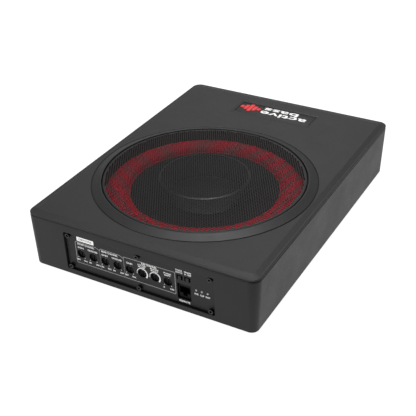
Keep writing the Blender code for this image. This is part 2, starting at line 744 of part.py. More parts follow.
def control_board(front):
    face = -13.3 * MM
    size = (164 * MM, 32 * MM, BOARD_THICKNESS)
    mesh = box_mesh("control_board", size, "circuit_green", (0, 0, face - size[2] / 2))
    board = place("control_board", mesh, parent=front)
    notch = box_mesh("board_notch", (JACK_WIDTH + 2 * GAP, 24 * MM, 6 * MM), "circuit_green")
    cut(board, place("tool_board_notch", notch, (JACK_U, JACK_V - 2 * MM, face), front))


# ---- connector end --------------------------------------------------------------------------------------
def connector_plate(back):
    blank = plate_blank("connector_plate", REAR_WIDTH, REAR_HEIGHT, REAR_DEPTH)
    plate = place("connector_plate", blank, parent=back)
    far = 30 * MM
    windows = (
        ("power", POWER_U, POWER_V, POWER_BLOCK),
        ("fuse", POWER_U, FUSE_V, FUSE_BLOCK),
        ("signal", SIGNAL_U, 0, SIGNAL_BLOCK),
        ("rca", RCA_U, 0, RCA_BLOCK),
    )
    for name, u, v, block in windows:
        size = (block[0] + 2 * GAP, block[1] + 2 * GAP, far)
        window = box_mesh(f"{name}_window", size, "satin_black")
        cut(plate, place(f"tool_{name}_window", window, (u, v, 0), back))
    screw_hole = rod("rear_screw_hole", SCREW_HOLE_RADIUS, -far, far, steps=HOLE_STEPS)
    for i, (u, v) in enumerate(rear_screws()):
        cut(plate, place(f"tool_rear_plate_screw_{i}", screw_hole, (u, v, 0), back))


def socket(name, back, place_uv, size, mouth_size):
    """A block with one open cavity, its face 4 mm proud of the plate."""
    face = -REAR_DEPTH + 4 * MM
    width, height, depth = size
    u, v = place_uv
    mesh = box_mesh(name, size, "satin_black", (0, 0, face - depth / 2), 0.4 * MM)
    block = place(name, mesh, (u, v, 0), back)
    mouth = box_mesh(f"{name}_mouth", (*mouth_size, 2 * (depth - 3 * MM)), "satin_black")
    cut(block, place(f"tool_{name}_mouth", mouth, (u, v, face), back))


def rca_inputs(back):
    """Six phono inputs in one moulded block."""
    face = -REAR_DEPTH + 0.6 * MM
    mesh = box_mesh("rca_input_block", RCA_BLOCK, "satin_black", (0, 0, face - RCA_BLOCK[2] / 2))
    block = place("rca_input_block", mesh, (RCA_U, 0, 0), back)
    barrel = rod("rca_barrel", 4.15 * MM, face - 1 * MM, -0.4 * MM, steps=12)
    pin_hole = rod("rca_pin_hole", 1.7 * MM, face - 6 * MM, 5 * MM, steps=HOLE_STEPS)
    for i in range(6):
        u = RCA_U + (i % 3 - 1) * RCA_PITCH
        v = (0.5 - i // 3) * 13.4 * MM
        join(block, place(f"tool_rca_barrel_{i}", barrel, (u, v, 0), back))
        cut(block, place(f"tool_rca_pin_hole_{i}", pin_hole, (u, v, 0), back))


def fuses(back):
    face = -REAR_DEPTH + 1.5 * MM
    mesh = box_mesh("fuse_holder", FUSE_BLOCK, "satin_black", (0, 0, face - FUSE_BLOCK[2] / 2))
    holder = place("fuse_holder", mesh, (POWER_U, FUSE_V, 0), back)
    slot = box_mesh("fuse_slot", (5.6 * MM, 11 * MM, 18 * MM), "satin_black")
    blade = box_mesh("fuse", (5.0 * MM, 10.4 * MM, 12 * MM), "fuse_orange", (0, 0, -7.6 * MM), 0.5 * MM)
    for i, u in enumerate(FUSE_US):
        cut(holder, place(f"tool_fuse_slot_{i}", slot, (u, FUSE_V, face), back))
        place(f"fuse_{i + 1}", blade, (u, FUSE_V, 0), back)


# ---- amplifier ------------------------------------------------------------------------------------------
def amplifier():
    board_z = 9.0 * MM
    seat_z = board_z + BOARD_THICKNESS + GAP
    middle_y = 121 * MM
    board = box_mesh("amplifier_board", (232 * MM, 88 * MM, BOARD_THICKNESS), "circuit_green")
    place("amplifier_board", board, (0, middle_y, board_z + BOARD_THICKNESS / 2))
    sink_size = (6 * MM, 84 * MM, 26 * MM)
    sink = box_mesh("heat_sink", sink_size, "aluminium", chamfer=0.5 * MM)
    place("heat_sink", sink, (112 * MM, middle_y, seat_z + sink_size[2] / 2))
    bore = 8 * MM
    height = 18 * MM
    outside = arc(15 * MM, height / 2, 7 * MM, height / 2, -90, 90, 6)
    toroid = turned("power_toroid", [(bore, 0)] + outside + [(bore, height)], "copper", 20)
    place("power_toroid", toroid, (72 * MM, 108 * MM, seat_z))
    radius = 11 * MM
    edge = 1 * MM
    tall = 30 * MM
    low_end = [(0, 0), (radius - edge, 0), (radius, edge)]
    high_end = [(radius, tall - edge), (radius - edge, tall), (0, tall)]
    for i, x in enumerate((-10 * MM, 16 * MM)):
        mesh = turned("capacitor", low_end + high_end, "sleeve_blue", SMALL_STEPS)
        place(f"capacitor_{i + 1}", mesh, (x, 104 * MM, seat_z))


def main():
    clear_scene()
    front = wall_frame("front_wall_frame", -1)
    back = wall_frame("back_wall_frame", 1)
    housing_tub(front, back)
    feet()
    top_cover()
    badge_plate()
    grille()
    driver_gasket()
    basket()
    surround()
    cone()
    dust_cap()
    voice_coil()
    spider()
    motor()
    control_plate(front)
    knobs(front)
    switches(front)
    remote_jack(front)
    leds(front)
    control_board(front)
    screw = cap_screw()
    for i, (u, v) in enumerate(front_screws()):
        place(f"panel_screw_{i + 1}", screw, (u, v, -PLATE_DEPTH + GAP), front)
    for i, (u, v) in enumerate(rear_screws()):
        place(f"connector_screw_{i + 1}", screw, (u, v, -REAR_DEPTH + GAP), back)
    connector_plate(back)
    socket("power_socket", back, (POWER_U, POWER_V), POWER_BLOCK, (30 * MM, 10 * MM))
    socket("speaker_level_socket", back, (SIGNAL_U, 0), SIGNAL_BLOCK, (15 * MM, 8 * MM))
    rca_inputs(back)
    fuses(back)
    amplifier()


main()
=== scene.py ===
import math

import bmesh
import bpy
import numpy as np
from mathutils import Matrix, Vector
from mathutils.geometry import tessellate_polygon


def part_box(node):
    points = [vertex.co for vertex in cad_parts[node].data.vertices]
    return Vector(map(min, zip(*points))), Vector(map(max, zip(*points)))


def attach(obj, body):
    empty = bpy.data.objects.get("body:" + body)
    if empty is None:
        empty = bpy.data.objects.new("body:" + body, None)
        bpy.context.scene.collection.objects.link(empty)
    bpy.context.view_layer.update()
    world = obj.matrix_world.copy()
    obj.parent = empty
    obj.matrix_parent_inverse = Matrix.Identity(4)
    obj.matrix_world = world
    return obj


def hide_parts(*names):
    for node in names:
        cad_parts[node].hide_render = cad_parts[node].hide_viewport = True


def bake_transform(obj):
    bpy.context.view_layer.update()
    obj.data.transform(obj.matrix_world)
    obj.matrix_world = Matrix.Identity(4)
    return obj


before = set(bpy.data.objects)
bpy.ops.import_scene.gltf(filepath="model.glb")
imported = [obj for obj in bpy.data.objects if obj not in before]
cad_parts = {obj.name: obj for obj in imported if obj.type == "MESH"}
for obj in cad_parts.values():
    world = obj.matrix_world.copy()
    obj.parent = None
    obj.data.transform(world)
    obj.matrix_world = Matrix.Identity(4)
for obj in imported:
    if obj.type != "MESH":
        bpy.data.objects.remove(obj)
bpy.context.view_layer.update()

MM = 0.001

# ---- dimensions shared with the CAD part ----
BODY_WIDTH = 270 * MM
BODY_LENGTH = 366.6 * MM
WALL_HEIGHT = 60.4 * MM
DRAFT_INSET = 2.0 * MM
CORNER_RADIUS = 10.4 * MM
WALL = 4.0 * MM
FOOT_HEIGHT = 2.0 * MM
GAP = 0.3 * MM
LIP_Z = 66.6 * MM
TOP_Z = 68.1 * MM
SEAM_Z = 64.4 * MM
FLOOR_Z = 5.0 * MM
COVER_UNDERSIDE = TOP_Z - 3.4 * MM
BEVEL_OUTER = 2.6 * MM
BEVEL_INNER = 8.8 * MM
DRIVER_Y = -39.1 * MM
CREASE_RADIUS = 125.2 * MM
BEZEL_RADIUS = 114.7 * MM
BEZEL_RISE = 3.6 * MM
WELL_RADIUS = 113.9 * MM
LEDGE_RADIUS = 112.0 * MM
BOSS_RADIUS = 122.5 * MM
BOSS_DEPTH = 12.9 * MM
FLANGE_Z = TOP_Z - BOSS_DEPTH - 1.4 * MM
DRAFT = math.atan2(DRAFT_INSET, WALL_HEIGHT)

PANEL_WIDTH = 177.3 * MM
PANEL_HEIGHT = 46.6 * MM
PANEL_MIDDLE = 29.9 * MM
PLATE_DEPTH = 2.8 * MM
PLATE_THICKNESS = 1.6 * MM
PLATE_MARGIN = 0.8 * MM
KNOB_US = [(-70.2 + 15.0 * i) * MM for i in range(8)]
KNOB_V = -0.9 * MM
KNOB_RADIUS = 4.4 * MM
KNOB_RECESS = 1.6 * MM
SWITCH_US = (48.9 * MM, 57.7 * MM)
SWITCH_V = 9.6 * MM
SWITCH_SLOT = (7.0 * MM, 5.6 * MM)
LEVER_WIDTH, LEVER_HEIGHT = 2.9 * MM, 4.2 * MM
JACK_U = 53.3 * MM
JACK_V = -7.4 * MM
JACK_RECESS = 2.0 * MM
LED_US = (67.4 * MM, 73.7 * MM, 80.2 * MM)
LED_V = -0.1 * MM
FRONT_SCREWS = [(u, v) for v in (19.6 * MM, -19.6 * MM) for u in (-84.0 * MM, 0.8 * MM, 84.0 * MM)]

FOOT_PLACES = [(sx * 112 * MM, sy * 158 * MM) for sx in (-1, 1) for sy in (-1, 1)]
UNDERSIDE_SCREWS = [(sx * 124 * MM, y * MM) for sx in (-1, 1) for y in (-172, -86, 86, 172)]
UNDERSIDE_SCREWS += [(0, -172 * MM), (0, 172 * MM)]
SCREW_HOLE = 1.8 * MM
SCREW_DEPTH = 18 * MM
STEM_DEPTH = 13.0 * MM

REAR_WIDTH = 150.0 * MM
REAR_HEIGHT = 40.0 * MM
REAR_DEPTH = 6.4 * MM
REAR_SCREWS = [(u, v) for v in (15.5 * MM, -15.5 * MM) for u in (-70.5 * MM, 70.5 * MM)]
POWER_U, POWER_V = 46.0 * MM, -7.5 * MM
FUSE_V = 10.0 * MM
FUSE_US = (40.0 * MM, 52.0 * MM)
RCA_U = -38.0 * MM
SIGNAL_U = 2.0 * MM
POWER_SIZE = (34 * MM, 14 * MM)
FUSE_SIZE = (26 * MM, 13 * MM)
SIGNAL_SIZE = (18 * MM, 12 * MM)
RCA_SIZE = (46 * MM, 28 * MM)
RCA_PLACES = [((i % 3 - 1) * 14 * MM, (0.5 - i // 3) * 13.4 * MM) for i in range(6)]

BADGE_HALF_WIDTH = 50.5 * MM
BADGE_FRONT_Y = 129.5 * MM
BADGE_BACK_Y = 157.6 * MM
BADGE_DEPTH = 2.2 * MM
BADGE_SLOPE_DEPTH = 0.9 * MM
BADGE_SLOPE_SIDE, BADGE_SLOPE_FRONT, BADGE_SLOPE_BACK = 3.0 * MM, 8.5 * MM, 1.6 * MM
PRINT_DEPTH = 0.06 * MM

FINE = 200  # facets round the driver's opening
ROUND = 48  # facets round a knob
TINY = 24  # facets round a screw


# ---- node materials ----
class Surface:
    """A Principled material whose colour, roughness and relief come from noise in the object's own space."""

    def __init__(self, name, roughness=0.5, metallic=0.0, specular=0.5):
        self.material = bpy.data.materials.new(name)
        self.material.use_nodes = True
        self.tree = self.material.node_tree
        self.shader = self.tree.nodes["Principled BSDF"]
        self.shader.inputs["Roughness"].default_value = roughness
        self.shader.inputs["Metallic"].default_value = metallic
        self.shader.inputs["Specular IOR Level"].default_value = specular
        self.place = self.node("ShaderNodeTexCoord").outputs["Object"]
        self.height = None

    def node(self, kind, **settings):
        made = self.tree.nodes.new(kind)
        for key, value in settings.items():
            setattr(made, key, value)
        return made

    def join(self, source, target):
        self.tree.links.new(source, target)

    def stretched(self, scale, turn=(0, 0, 0)):
        mapping = self.node("ShaderNodeMapping")
        mapping.inputs["Scale"].default_value = scale
        mapping.inputs["Rotation"].default_value = turn
        self.join(self.place, mapping.inputs["Vector"])
        return mapping.outputs["Vector"]

    def noise(self, size, detail=3.0, roughness=0.55, place=None):
        """Noise with features about this many metres across."""
        made = self.node("ShaderNodeTexNoise")
        made.inputs["Scale"].default_value = 1.0 / size
        made.inputs["Detail"].default_value = detail
        made.inputs["Roughness"].default_value = roughness
        self.join(place or self.place, made.inputs["Vector"])
        return made.outputs["Fac"]

    def cells(self, size, feature="F1", place=None):
        made = self.node("ShaderNodeTexVoronoi", feature=feature)
        made.inputs["Scale"].default_value = 1.0 / size
        self.join(place or self.place, made.inputs["Vector"])
        return made.outputs["Distance"]

    def waves(self, size, kind="BANDS", direction="X", distort=0.0, place=None):
        made = self.node("ShaderNodeTexWave", wave_type=kind)
        if kind == "BANDS":
            made.bands_direction = direction
        else:
            made.rings_direction = direction
        made.inputs["Scale"].default_value = 0.314 / size
        made.inputs["Distortion"].default_value = distort
        self.join(place or self.place, made.inputs["Vector"])
        return made.outputs["Fac"]

    def spread(self, value, low, high, to_low=0.0, to_high=1.0):
        made = self.node("ShaderNodeMapRange")
        for key, number in (("From Min", low), ("From Max", high), ("To Min", to_low), ("To Max", to_high)):
            made.inputs[key].default_value = number
        self.join(value, made.inputs["Value"])
        return made.outputs["Result"]

    def sum(self, a, b, operation="ADD"):
        made = self.node("ShaderNodeMath", operation=operation)
        self.join(a, made.inputs[0])
        if isinstance(b, (int, float)):
            made.inputs[1].default_value = b
        else:
            self.join(b, made.inputs[1])
        return made.outputs[0]

    def ramp(self, value, stops):
        made = self.node("ShaderNodeValToRGB")
        elements = made.color_ramp.elements
        while len(elements) < len(stops):
            elements.new(0.5)
        for element, (at, colour) in zip(elements, stops):
            element.position = at
            element.color = (*colour, 1.0)
        self.join(value, made.inputs["Fac"])
        return made.outputs["Color"]

    def mix(self, share, a, b):
        made = self.node("ShaderNodeMix", data_type="RGBA")
        self.join(share, made.inputs[0])
        for socket, colour in ((made.inputs[6], a), (made.inputs[7], b)):
            if isinstance(colour, tuple):
                socket.default_value = (*colour, 1.0)
            else:
                self.join(colour, socket)
        return made.outputs[2]

    def two_tone(self, first, second, share, dark, light):
        """From dark to light by two noises, the first one taking this share."""
        both = self.sum(
            self.spread(first, 0.3, 0.7, 0.0, share), self.spread(second, 0.3, 0.7, 0.0, 1.0 - share)
        )
        return self.ramp(both, ((0.0, dark), (1.0, light)))

    def colour(self, source):
        self.join(source, self.shader.inputs["Base Color"])
        return self

    def rough(self, value, low, high, to_low, to_high):
        self.join(self.spread(value, low, high, to_low, to_high), self.shader.inputs["Roughness"])
        return self

    def relief(self, value, depth, strength=1.0):
        """Bump of this depth in metres. Called again, it adds to what is there."""
        made = self.node("ShaderNodeBump")
        made.inputs["Strength"].default_value = strength
        made.inputs["Distance"].default_value = depth
        self.join(value, made.inputs["Height"])
        if self.height:
            self.join(self.height, made.inputs["Normal"])
        self.height = made.outputs["Normal"]
        self.join(self.height, self.shader.inputs["Normal"])
        return self


def grey(value):
    return (value, value, value)


def moulded(name, dark, light, rough, grain=0.55, depth=0.05, scuff=0.25, specular=0.5, worn=None):
    """Plastic or painted casting: a fine pebble, slow tone changes, light scuffs. grain and depth are in mm."""
    s = Surface(name, specular=specular)
    slow = s.noise(38 * MM, 4.0)
    speckle = s.noise(1.5 * MM, 2.0, 0.7)
    pebble = s.cells(grain * MM)
    base = s.two_tone(slow, speckle, 0.55, dark, light)
    streak = s.noise(5 * MM, 5.0, 0.62, s.stretched((1.0, 0.18, 1.0), (0.0, 0.0, 0.6)))
    rubbed = s.spread(s.sum(streak, s.spread(slow, 0.35, 0.75, -0.05, 0.05)), 0.62, 0.78, 0.0, scuff)
    s.colour(s.mix(rubbed, base, worn or tuple(3.0 * c for c in light)))
    s.rough(s.sum(speckle, slow), 0.7, 1.3, *rough)
    s.relief(pebble, depth * MM, 0.8).relief(speckle, depth * MM * 1.3, 0.5)
    return s.material


def metal(name, dark, light, rough, brushed=(1.0, 1.0, 1.0), tarnish=None):
    s = Surface(name, metallic=1.0)
    lines = s.noise(1.2 * MM, 5.0, 0.6, s.stretched(brushed))
    cloud = s.noise(16 * MM, 4.0)
    base = s.two_tone(lines, cloud, 0.6, dark, light)
    if tarnish:
        base = s.mix(s.spread(s.noise(7 * MM, 6.0, 0.65), 0.55, 0.72, 0.0, 0.7), base, tarnish)
    s.colour(base)
    s.rough(s.sum(lines, cloud), 0.7, 1.3, *rough)
    s.relief(lines, 0.012 * MM, 0.6)
    return s.material


def make_materials():
    return {
        # The housing takes the cover's textured black at a lower tone; that lower tone is painted shade on its
        # walls.
        "casting": moulded(
            "textured_black_casting", (0.0045, 0.0045, 0.0047), (0.0075, 0.0075, 0.0077), (0.44, 0.56),
            specular=0.3,
        ),
        "cover": moulded(
            "textured_black_cover", (0.006, 0.006, 0.0062), (0.0095, 0.0095, 0.0097), (0.44, 0.56),
            grain=0.5, specular=0.38,
        ),
        "satin": moulded(
            "satin_black", (0.006, 0.006, 0.0062), grey(0.010), (0.36, 0.48), grain=0.3, depth=0.015,
            scuff=0.12,
        ),
        # Black plastic for the knobs, switch bodies and remote jack, partly its own black and partly darkened
        # well below the other blacks as painted shade of the recesses they sit in.
        "knob": moulded(
            "knob_black_painted_recess_shade", grey(0.0015), grey(0.003), (0.36, 0.48), grain=0.3, depth=0.01, scuff=0.06,
            specular=0.1,
        ),
        "plate": moulded(
            "black_plate", (0.004, 0.004, 0.0042), grey(0.007), (0.42, 0.54), grain=0.35, depth=0.025,
            scuff=0.15, specular=0.28,
        ),
        "mesh": moulded(
            "black_steel", grey(0.004), grey(0.007), (0.38, 0.5), grain=0.25, depth=0.012, scuff=0.06,
            specular=0.26,
        ),
        "rubber": moulded(
            "black_rubber", grey(0.012), (0.022, 0.022, 0.021), (0.72, 0.86), grain=0.7, depth=0.03,
            scuff=0.3, specular=0.3,
        ),
        "red": red_rubber(),
        "cone": paper(),
        "cap": moulded(
            "black_cap", (0.004, 0.004, 0.0042), grey(0.007), (0.45, 0.58), grain=0.6, depth=0.02,
            scuff=0.04, specular=0.3,
        ),
        "fastener": metal(
            "black_fastener", grey(0.028), (0.06, 0.059, 0.058), (0.18, 0.3), tarnish=(0.02, 0.019, 0.018)
        ),
        "steel": metal(
            "motor_steel", (0.36, 0.37, 0.36), (0.56, 0.56, 0.54), (0.3, 0.44), tarnish=(0.30, 0.28, 0.2)
        ),
        "nickel": metal("nickel", (0.55, 0.54, 0.52), (0.70, 0.69, 0.66), (0.16, 0.26), brushed=(1, 1, 5)),
        "gold": metal(
            "gold_contact", (0.72, 0.50, 0.16), (0.90, 0.66, 0.26), (0.18, 0.3), brushed=(6, 1, 1)
        ),
        "sink": metal("heat_sink", (0.42, 0.43, 0.44), (0.62, 0.62, 0.63), (0.34, 0.5), brushed=(1, 9, 1)),
        "ferrite": moulded(
            "ferrite", (0.030, 0.029, 0.028), (0.060, 0.057, 0.055), (0.6, 0.8), grain=0.4, depth=0.02,
            scuff=0.4,
        ),
        "copper": winding(),
        "former": moulded(
            "former", (0.30, 0.15, 0.04), (0.44, 0.23, 0.07), (0.38, 0.5), grain=0.5, depth=0.01, scuff=0.1,
            worn=(0.5, 0.3, 0.1),
        ),
        "cloth": cloth(),
        "board": circuit_board(),
        "fuse": moulded(
            "fuse", (0.62, 0.14, 0.008), (0.80, 0.22, 0.015), (0.18, 0.3), grain=1.2, depth=0.01,
            scuff=0.15, worn=(0.85, 0.45, 0.2),
        ),
        "sleeve": moulded(
            "capacitor", (0.008, 0.014, 0.055), (0.016, 0.026, 0.09), (0.22, 0.34), grain=1.5, depth=0.01,
            scuff=0.1, worn=(0.1, 0.12, 0.2),
        ),
        "lens": moulded(
            "lens", (0.30, 0.30, 0.295), (0.42, 0.42, 0.415), (0.12, 0.22), grain=0.8, depth=0.005,
            scuff=0.1, worn=grey(0.8),
        ),
        "ink": moulded(
            "white_print", grey(0.62), (0.78, 0.78, 0.77), (0.45, 0.6), grain=0.3, depth=0.006, scuff=0.5,
            worn=grey(0.25),
        ),
        "line": moulded(
            "grey_print", grey(0.20), grey(0.29), (0.45, 0.6), grain=0.3, depth=0.006, scuff=0.5,
            worn=grey(0.12),
        ),
        "label": moulded(
            "white_label", (0.82, 0.82, 0.81), (0.90, 0.90, 0.89), (0.35, 0.5), grain=0.6, depth=0.006,
            scuff=0.2, worn=(0.55, 0.55, 0.53),
        ),
        "mark": moulded(
            "red_mark", (0.60, 0.004, 0.008), (0.72, 0.008, 0.012), (0.26, 0.36), grain=0.5, depth=0.006,
            scuff=0.05, worn=(0.8, 0.05, 0.05),
        ),
        "red_plastic": moulded(
            "red_plastic", (0.42, 0.01, 0.01), (0.55, 0.018, 0.016), (0.3, 0.42), grain=0.4, depth=0.01,
            scuff=0.1, worn=(0.6, 0.1, 0.1),
        ),
        "white_plastic": moulded(
            "white_plastic", (0.62, 0.62, 0.60), (0.74, 0.74, 0.72), (0.3, 0.42), grain=0.4, depth=0.01,
            scuff=0.15, worn=(0.5, 0.5, 0.48),
        ),
        "well": moulded("well_black", grey(0.006), grey(0.010), (0.6, 0.75), scuff=0.05),
    }


def red_rubber():
    """Smooth coloured rubber with a faint bloom and fine moulding rings about the driver's axis."""
    s = Surface("red_rubber", specular=0.15)
    slow = s.noise(24 * MM, 4.0)
    fine = s.noise(0.8 * MM, 3.0, 0.6)
    s.colour(s.two_tone(slow, fine, 0.6, (0.50, 0.003, 0.018), (0.62, 0.007, 0.032)))
    s.rough(s.sum(slow, fine), 0.7, 1.3, 0.5, 0.66)
    shift = s.node("ShaderNodeMapping")
    shift.inputs["Location"].default_value = (0.0, -DRIVER_Y, 0.0)
    s.join(s.place, shift.inputs["Vector"])
    s.relief(
        s.waves(1.6 * MM, "RINGS", "Z", place=shift.outputs["Vector"]), 0.02 * MM, 0.3
    ).relief(fine, 0.02 * MM, 0.5)
    return s.material


def paper():
    """Pressed black pulp with short fibres."""
    s = Surface("black_cone", specular=0.2)
    fibres = s.noise(1.8 * MM, 6.0, 0.7, s.stretched((1.0, 0.35, 1.0), (0, 0, 0.5)))
    cross = s.noise(1.4 * MM, 6.0, 0.7, s.stretched((0.35, 1.0, 1.0), (0, 0, -0.4)))
    both = s.sum(fibres, cross)
    s.colour(
        s.ramp(s.spread(both, 0.7, 1.35), ((0.0, (0.003, 0.003, 0.003)), (1.0, (0.010, 0.010, 0.0095))))
    )
    s.rough(both, 0.7, 1.3, 0.62, 0.82)
    s.relief(both, 0.06 * MM, 0.7)
    return s.material


def winding():
    """Enamelled wire laid turn beside turn."""
    s = Surface("copper", metallic=1.0)
    turns = s.waves(0.5 * MM, "BANDS", "Z", 0.4)
    tone = s.noise(6 * MM, 3.0)
    base = s.ramp(
        s.spread(s.sum(turns, tone), 0.4, 1.5), ((0.0, (0.30, 0.10, 0.035)), (1.0, (0.74, 0.34, 0.16)))
    )
    s.colour(base)
    s.rough(tone, 0.3, 0.7, 0.26, 0.4)
    s.relief(turns, 0.1 * MM, 0.8)
    return s.material


def cloth():
    """Phenolic cotton: a plain weave under amber resin."""
    s = Surface("spider_cloth", specular=0.3)
    warp = s.waves(0.7 * MM, "BANDS", "X", 0.3)
    weft = s.waves(0.7 * MM, "BANDS", "Y", 0.3)
    weave = s.sum(warp, weft, "MULTIPLY")
    stain = s.noise(9 * MM, 4.0)
    s.colour(
        s.ramp(
            s.spread(s.sum(weave, stain), 0.2, 1.5), ((0.0, (0.20, 0.11, 0.03)), (1.0, (0.52, 0.35, 0.15)))
        )
    )
    s.rough(stain, 0.3, 0.7, 0.7, 0.9)
    s.relief(weave, 0.12 * MM, 0.9)
    return s.material


def circuit_board():
    """Green solder mask over tracks, with a field of pads."""
    s = Surface("circuit_board", specular=0.5)
    tracks = s.cells(4.2 * MM, "DISTANCE_TO_EDGE", s.stretched((1.0, 1.4, 0.1)))
    over = s.spread(tracks, 0.06, 0.1)
    pads = s.spread(s.cells(3.1 * MM), 0.16, 0.2, 1.0, 0.0)
    mask = s.ramp(over, ((0.0, (0.012, 0.15, 0.05)), (1.0, (0.004, 0.07, 0.025))))
    s.colour(s.mix(pads, mask, (0.55, 0.54, 0.5)))
    s.rough(over, 0.0, 1.0, 0.3, 0.42)
    s.relief(over, 0.05 * MM, 0.8).relief(s.noise(0.6 * MM), 0.01 * MM, 0.5)
    return s.material


# ---- mesh helpers ----
def loop_rows(bm, loops, closed=False):
    """Faces between rows of points, with end caps unless the last row meets the first."""
    rows = [[bm.verts.new(point) for point in loop] for loop in loops]
    pairs = list(zip(rows, rows[1:])) + ([(rows[-1], rows[0])] if closed else [])
    for lower, upper in pairs:
        count = len(lower)
        for i in range(count):
            bm.faces.new((lower[i], lower[(i + 1) % count], upper[(i + 1) % count], upper[i]))
    if not closed:
        bm.faces.new(rows[0])
        bm.faces.new(rows[-1])


def spin(bm, profile, steps, matrix=Matrix(), start=0.0, end=2 * math.pi):
    """A turned solid about Z from a closed profile of (radius, height); less than a turn gets end caps."""
    whole = end - start > 2 * math.pi - 1e-6
    count = steps if whole else steps + 1
    angles = [start + (end - start) * i / steps for i in range(count)]
    rings = []
    for radius, height in profile:
        if radius < 1e-9:
            rings.append([bm.verts.new(matrix @ Vector((0, 0, height)))])
        else:
            rings.append(
                [
                    bm.verts.new(
                        matrix @ Vector((radius * math.cos(a), radius * math.sin(a), height))
                    ) for a in angles
                ]
            )
    for lower, upper in zip(rings, rings[1:] + rings[:1]):
        if len(lower) == 1 and len(upper) == 1:
            continue
        for i in range(count if whole else count - 1):
            j = (i + 1) % count
            corners = [
                lower[i % len(lower)], lower[j % len(lower)], upper[j % len(upper)], upper[i % len(upper)]
            ]
            bm.faces.new(list(dict.fromkeys(corners)))
    if not whole:
        for i in (0, -1):
            bm.faces.new([ring[i] for ring in rings])


def circle(radius, z, steps):
    angles = [2 * math.pi * i / steps for i in range(steps)]
    return [(radius * math.cos(a), radius * math.sin(a), z) for a in angles]


def cylinder(bm, radius, start, end, steps, matrix=Matrix()):
    spin(bm, [(0, start), (radius, start), (radius, end), (0, end)], steps, matrix)


def quarter(steps):
    """Angles from 0 to a quarter turn."""
    return [math.pi / 2 * i / steps for i in range(steps + 1)]


def ease(share):
    """0 to 1, with no slope at either end."""
    return share * share * (3 - 2 * share)


def box(bm, size, centre=(0, 0, 0), matrix=Matrix(), chamfer=0.0, segments=2):
    made = bmesh.ops.create_cube(
        bm, size=1.0, matrix=Matrix.Translation(centre) @ Matrix.Diagonal((*size, 1.0))
    )
    verts = made["verts"]
    if chamfer:
        edges = list({e for v in verts for e in v.link_edges})
        result = bmesh.ops.bevel(
            bm, geom=edges, offset=chamfer, segments=segments, affect="EDGES", profile=0.5
        )
        verts = list({v for f in result["faces"] for v in f.verts} | {v for v in verts if v.is_valid})
    bmesh.ops.transform(bm, matrix=matrix, verts=verts)


def to_object(name, bm, surface=None, angle=32, tidy=True, at=None):
    if tidy:
        bmesh.ops.recalc_face_normals(bm, faces=bm.faces)
    mesh = bpy.data.meshes.new(name)
    bm.to_mesh(mesh)
    bm.free()
    if at is not None:
        mesh.transform(at)
    obj = bpy.data.objects.new(name, mesh)
    bpy.context.scene.collection.objects.link(obj)
    if surface:
        mesh.materials.append(surface)
    soften(obj, angle)
    return obj


def soften(obj, angle):
    obj.data.shade_smooth()
    obj.data.set_sharp_from_angle(angle=math.radians(angle))


def level(obj, area):
    """Flat faces this large keep one shade right to their edges."""
    for face in obj.data.polygons:
        if face.area > area or abs(face.normal.z) > 0.9999:
            face.use_smooth = False


def even_normals(obj):
    """Large flat faces keep their own normal beside small rounded edges."""
    modifier = obj.modifiers.new("even_normals", "WEIGHTED_NORMAL")
    modifier.keep_sharp = True
    modifier.weight = 80


def shaped(obj, tool, operation="DIFFERENCE"):
    modifier = obj.modifiers.new("shape", "BOOLEAN")
    modifier.operation = operation
    modifier.object = tool
    modifier.solver = "EXACT"
    bpy.context.view_layer.update()
    result = bpy.data.meshes.new_from_object(obj.evaluated_get(bpy.context.evaluated_depsgraph_get()))
    obj.modifiers.clear()
    obj.data = result
    bpy.data.objects.remove(tool, do_unlink=True)
    return obj


def settle(obj, matrix):
    """Moves a moulding from its own frame to its place and evens its shading."""
    obj.data.transform(matrix)
    soften(obj, 32)
    even_normals(obj)


def piece(obj, body="enclosure", nodes=()):
    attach(obj, body)
    if nodes:
        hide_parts(*nodes)
    return obj


def rounded_rectangle(half_x, half_y, radius, z, steps=10):
    points = []
    for quarter, (sx, sy) in enumerate(((1, 1), (-1, 1), (-1, -1), (1, -1))):
        for i in range(steps + 1):
            angle = math.pi / 2 * (quarter + i / steps)
            x = sx * (half_x - radius) + radius * math.cos(angle)
            y = sy * (half_y - radius) + radius * math.sin(angle)
            points.append((x, y, z))
    return points


def body_loop(inset, z, radius=None):
    corner = max(CORNER_RADIUS - inset, 1.0 * MM) if radius is None else radius
    return rounded_rectangle(BODY_WIDTH / 2 - inset, BODY_LENGTH / 2 - inset, corner, z)


def arc(centre_r, centre_z, radius_r, radius_z, start, end, steps):
    angles = [math.radians(start + (end - start) * i / steps) for i in range(steps + 1)]
    return [(centre_r + radius_r * math.cos(a), centre_z + radius_z * math.sin(a)) for a in angles]


def wall_frame(side):
    lean = DRAFT_INSET * (1 - PANEL_MIDDLE / WALL_HEIGHT)
    right = (-side, 0, 0)
    up = (0, side * math.sin(DRAFT), math.cos(DRAFT))
    out = (0, side * math.cos(DRAFT), -math.sin(DRAFT))
    middle = (0, side * (BODY_LENGTH / 2 - lean), FOOT_HEIGHT + PANEL_MIDDLE)
    rows = [(right[i], up[i], out[i], middle[i]) for i in range(3)]
    return Matrix((*rows, (0, 0, 0, 1)))


FRONT = wall_frame(-1)
BACK = wall_frame(1)
AXIS = Matrix.Translation((0, DRIVER_Y, 0))


def at(u, v, w=0.0):
    return Matrix.Translation((u, v, w))


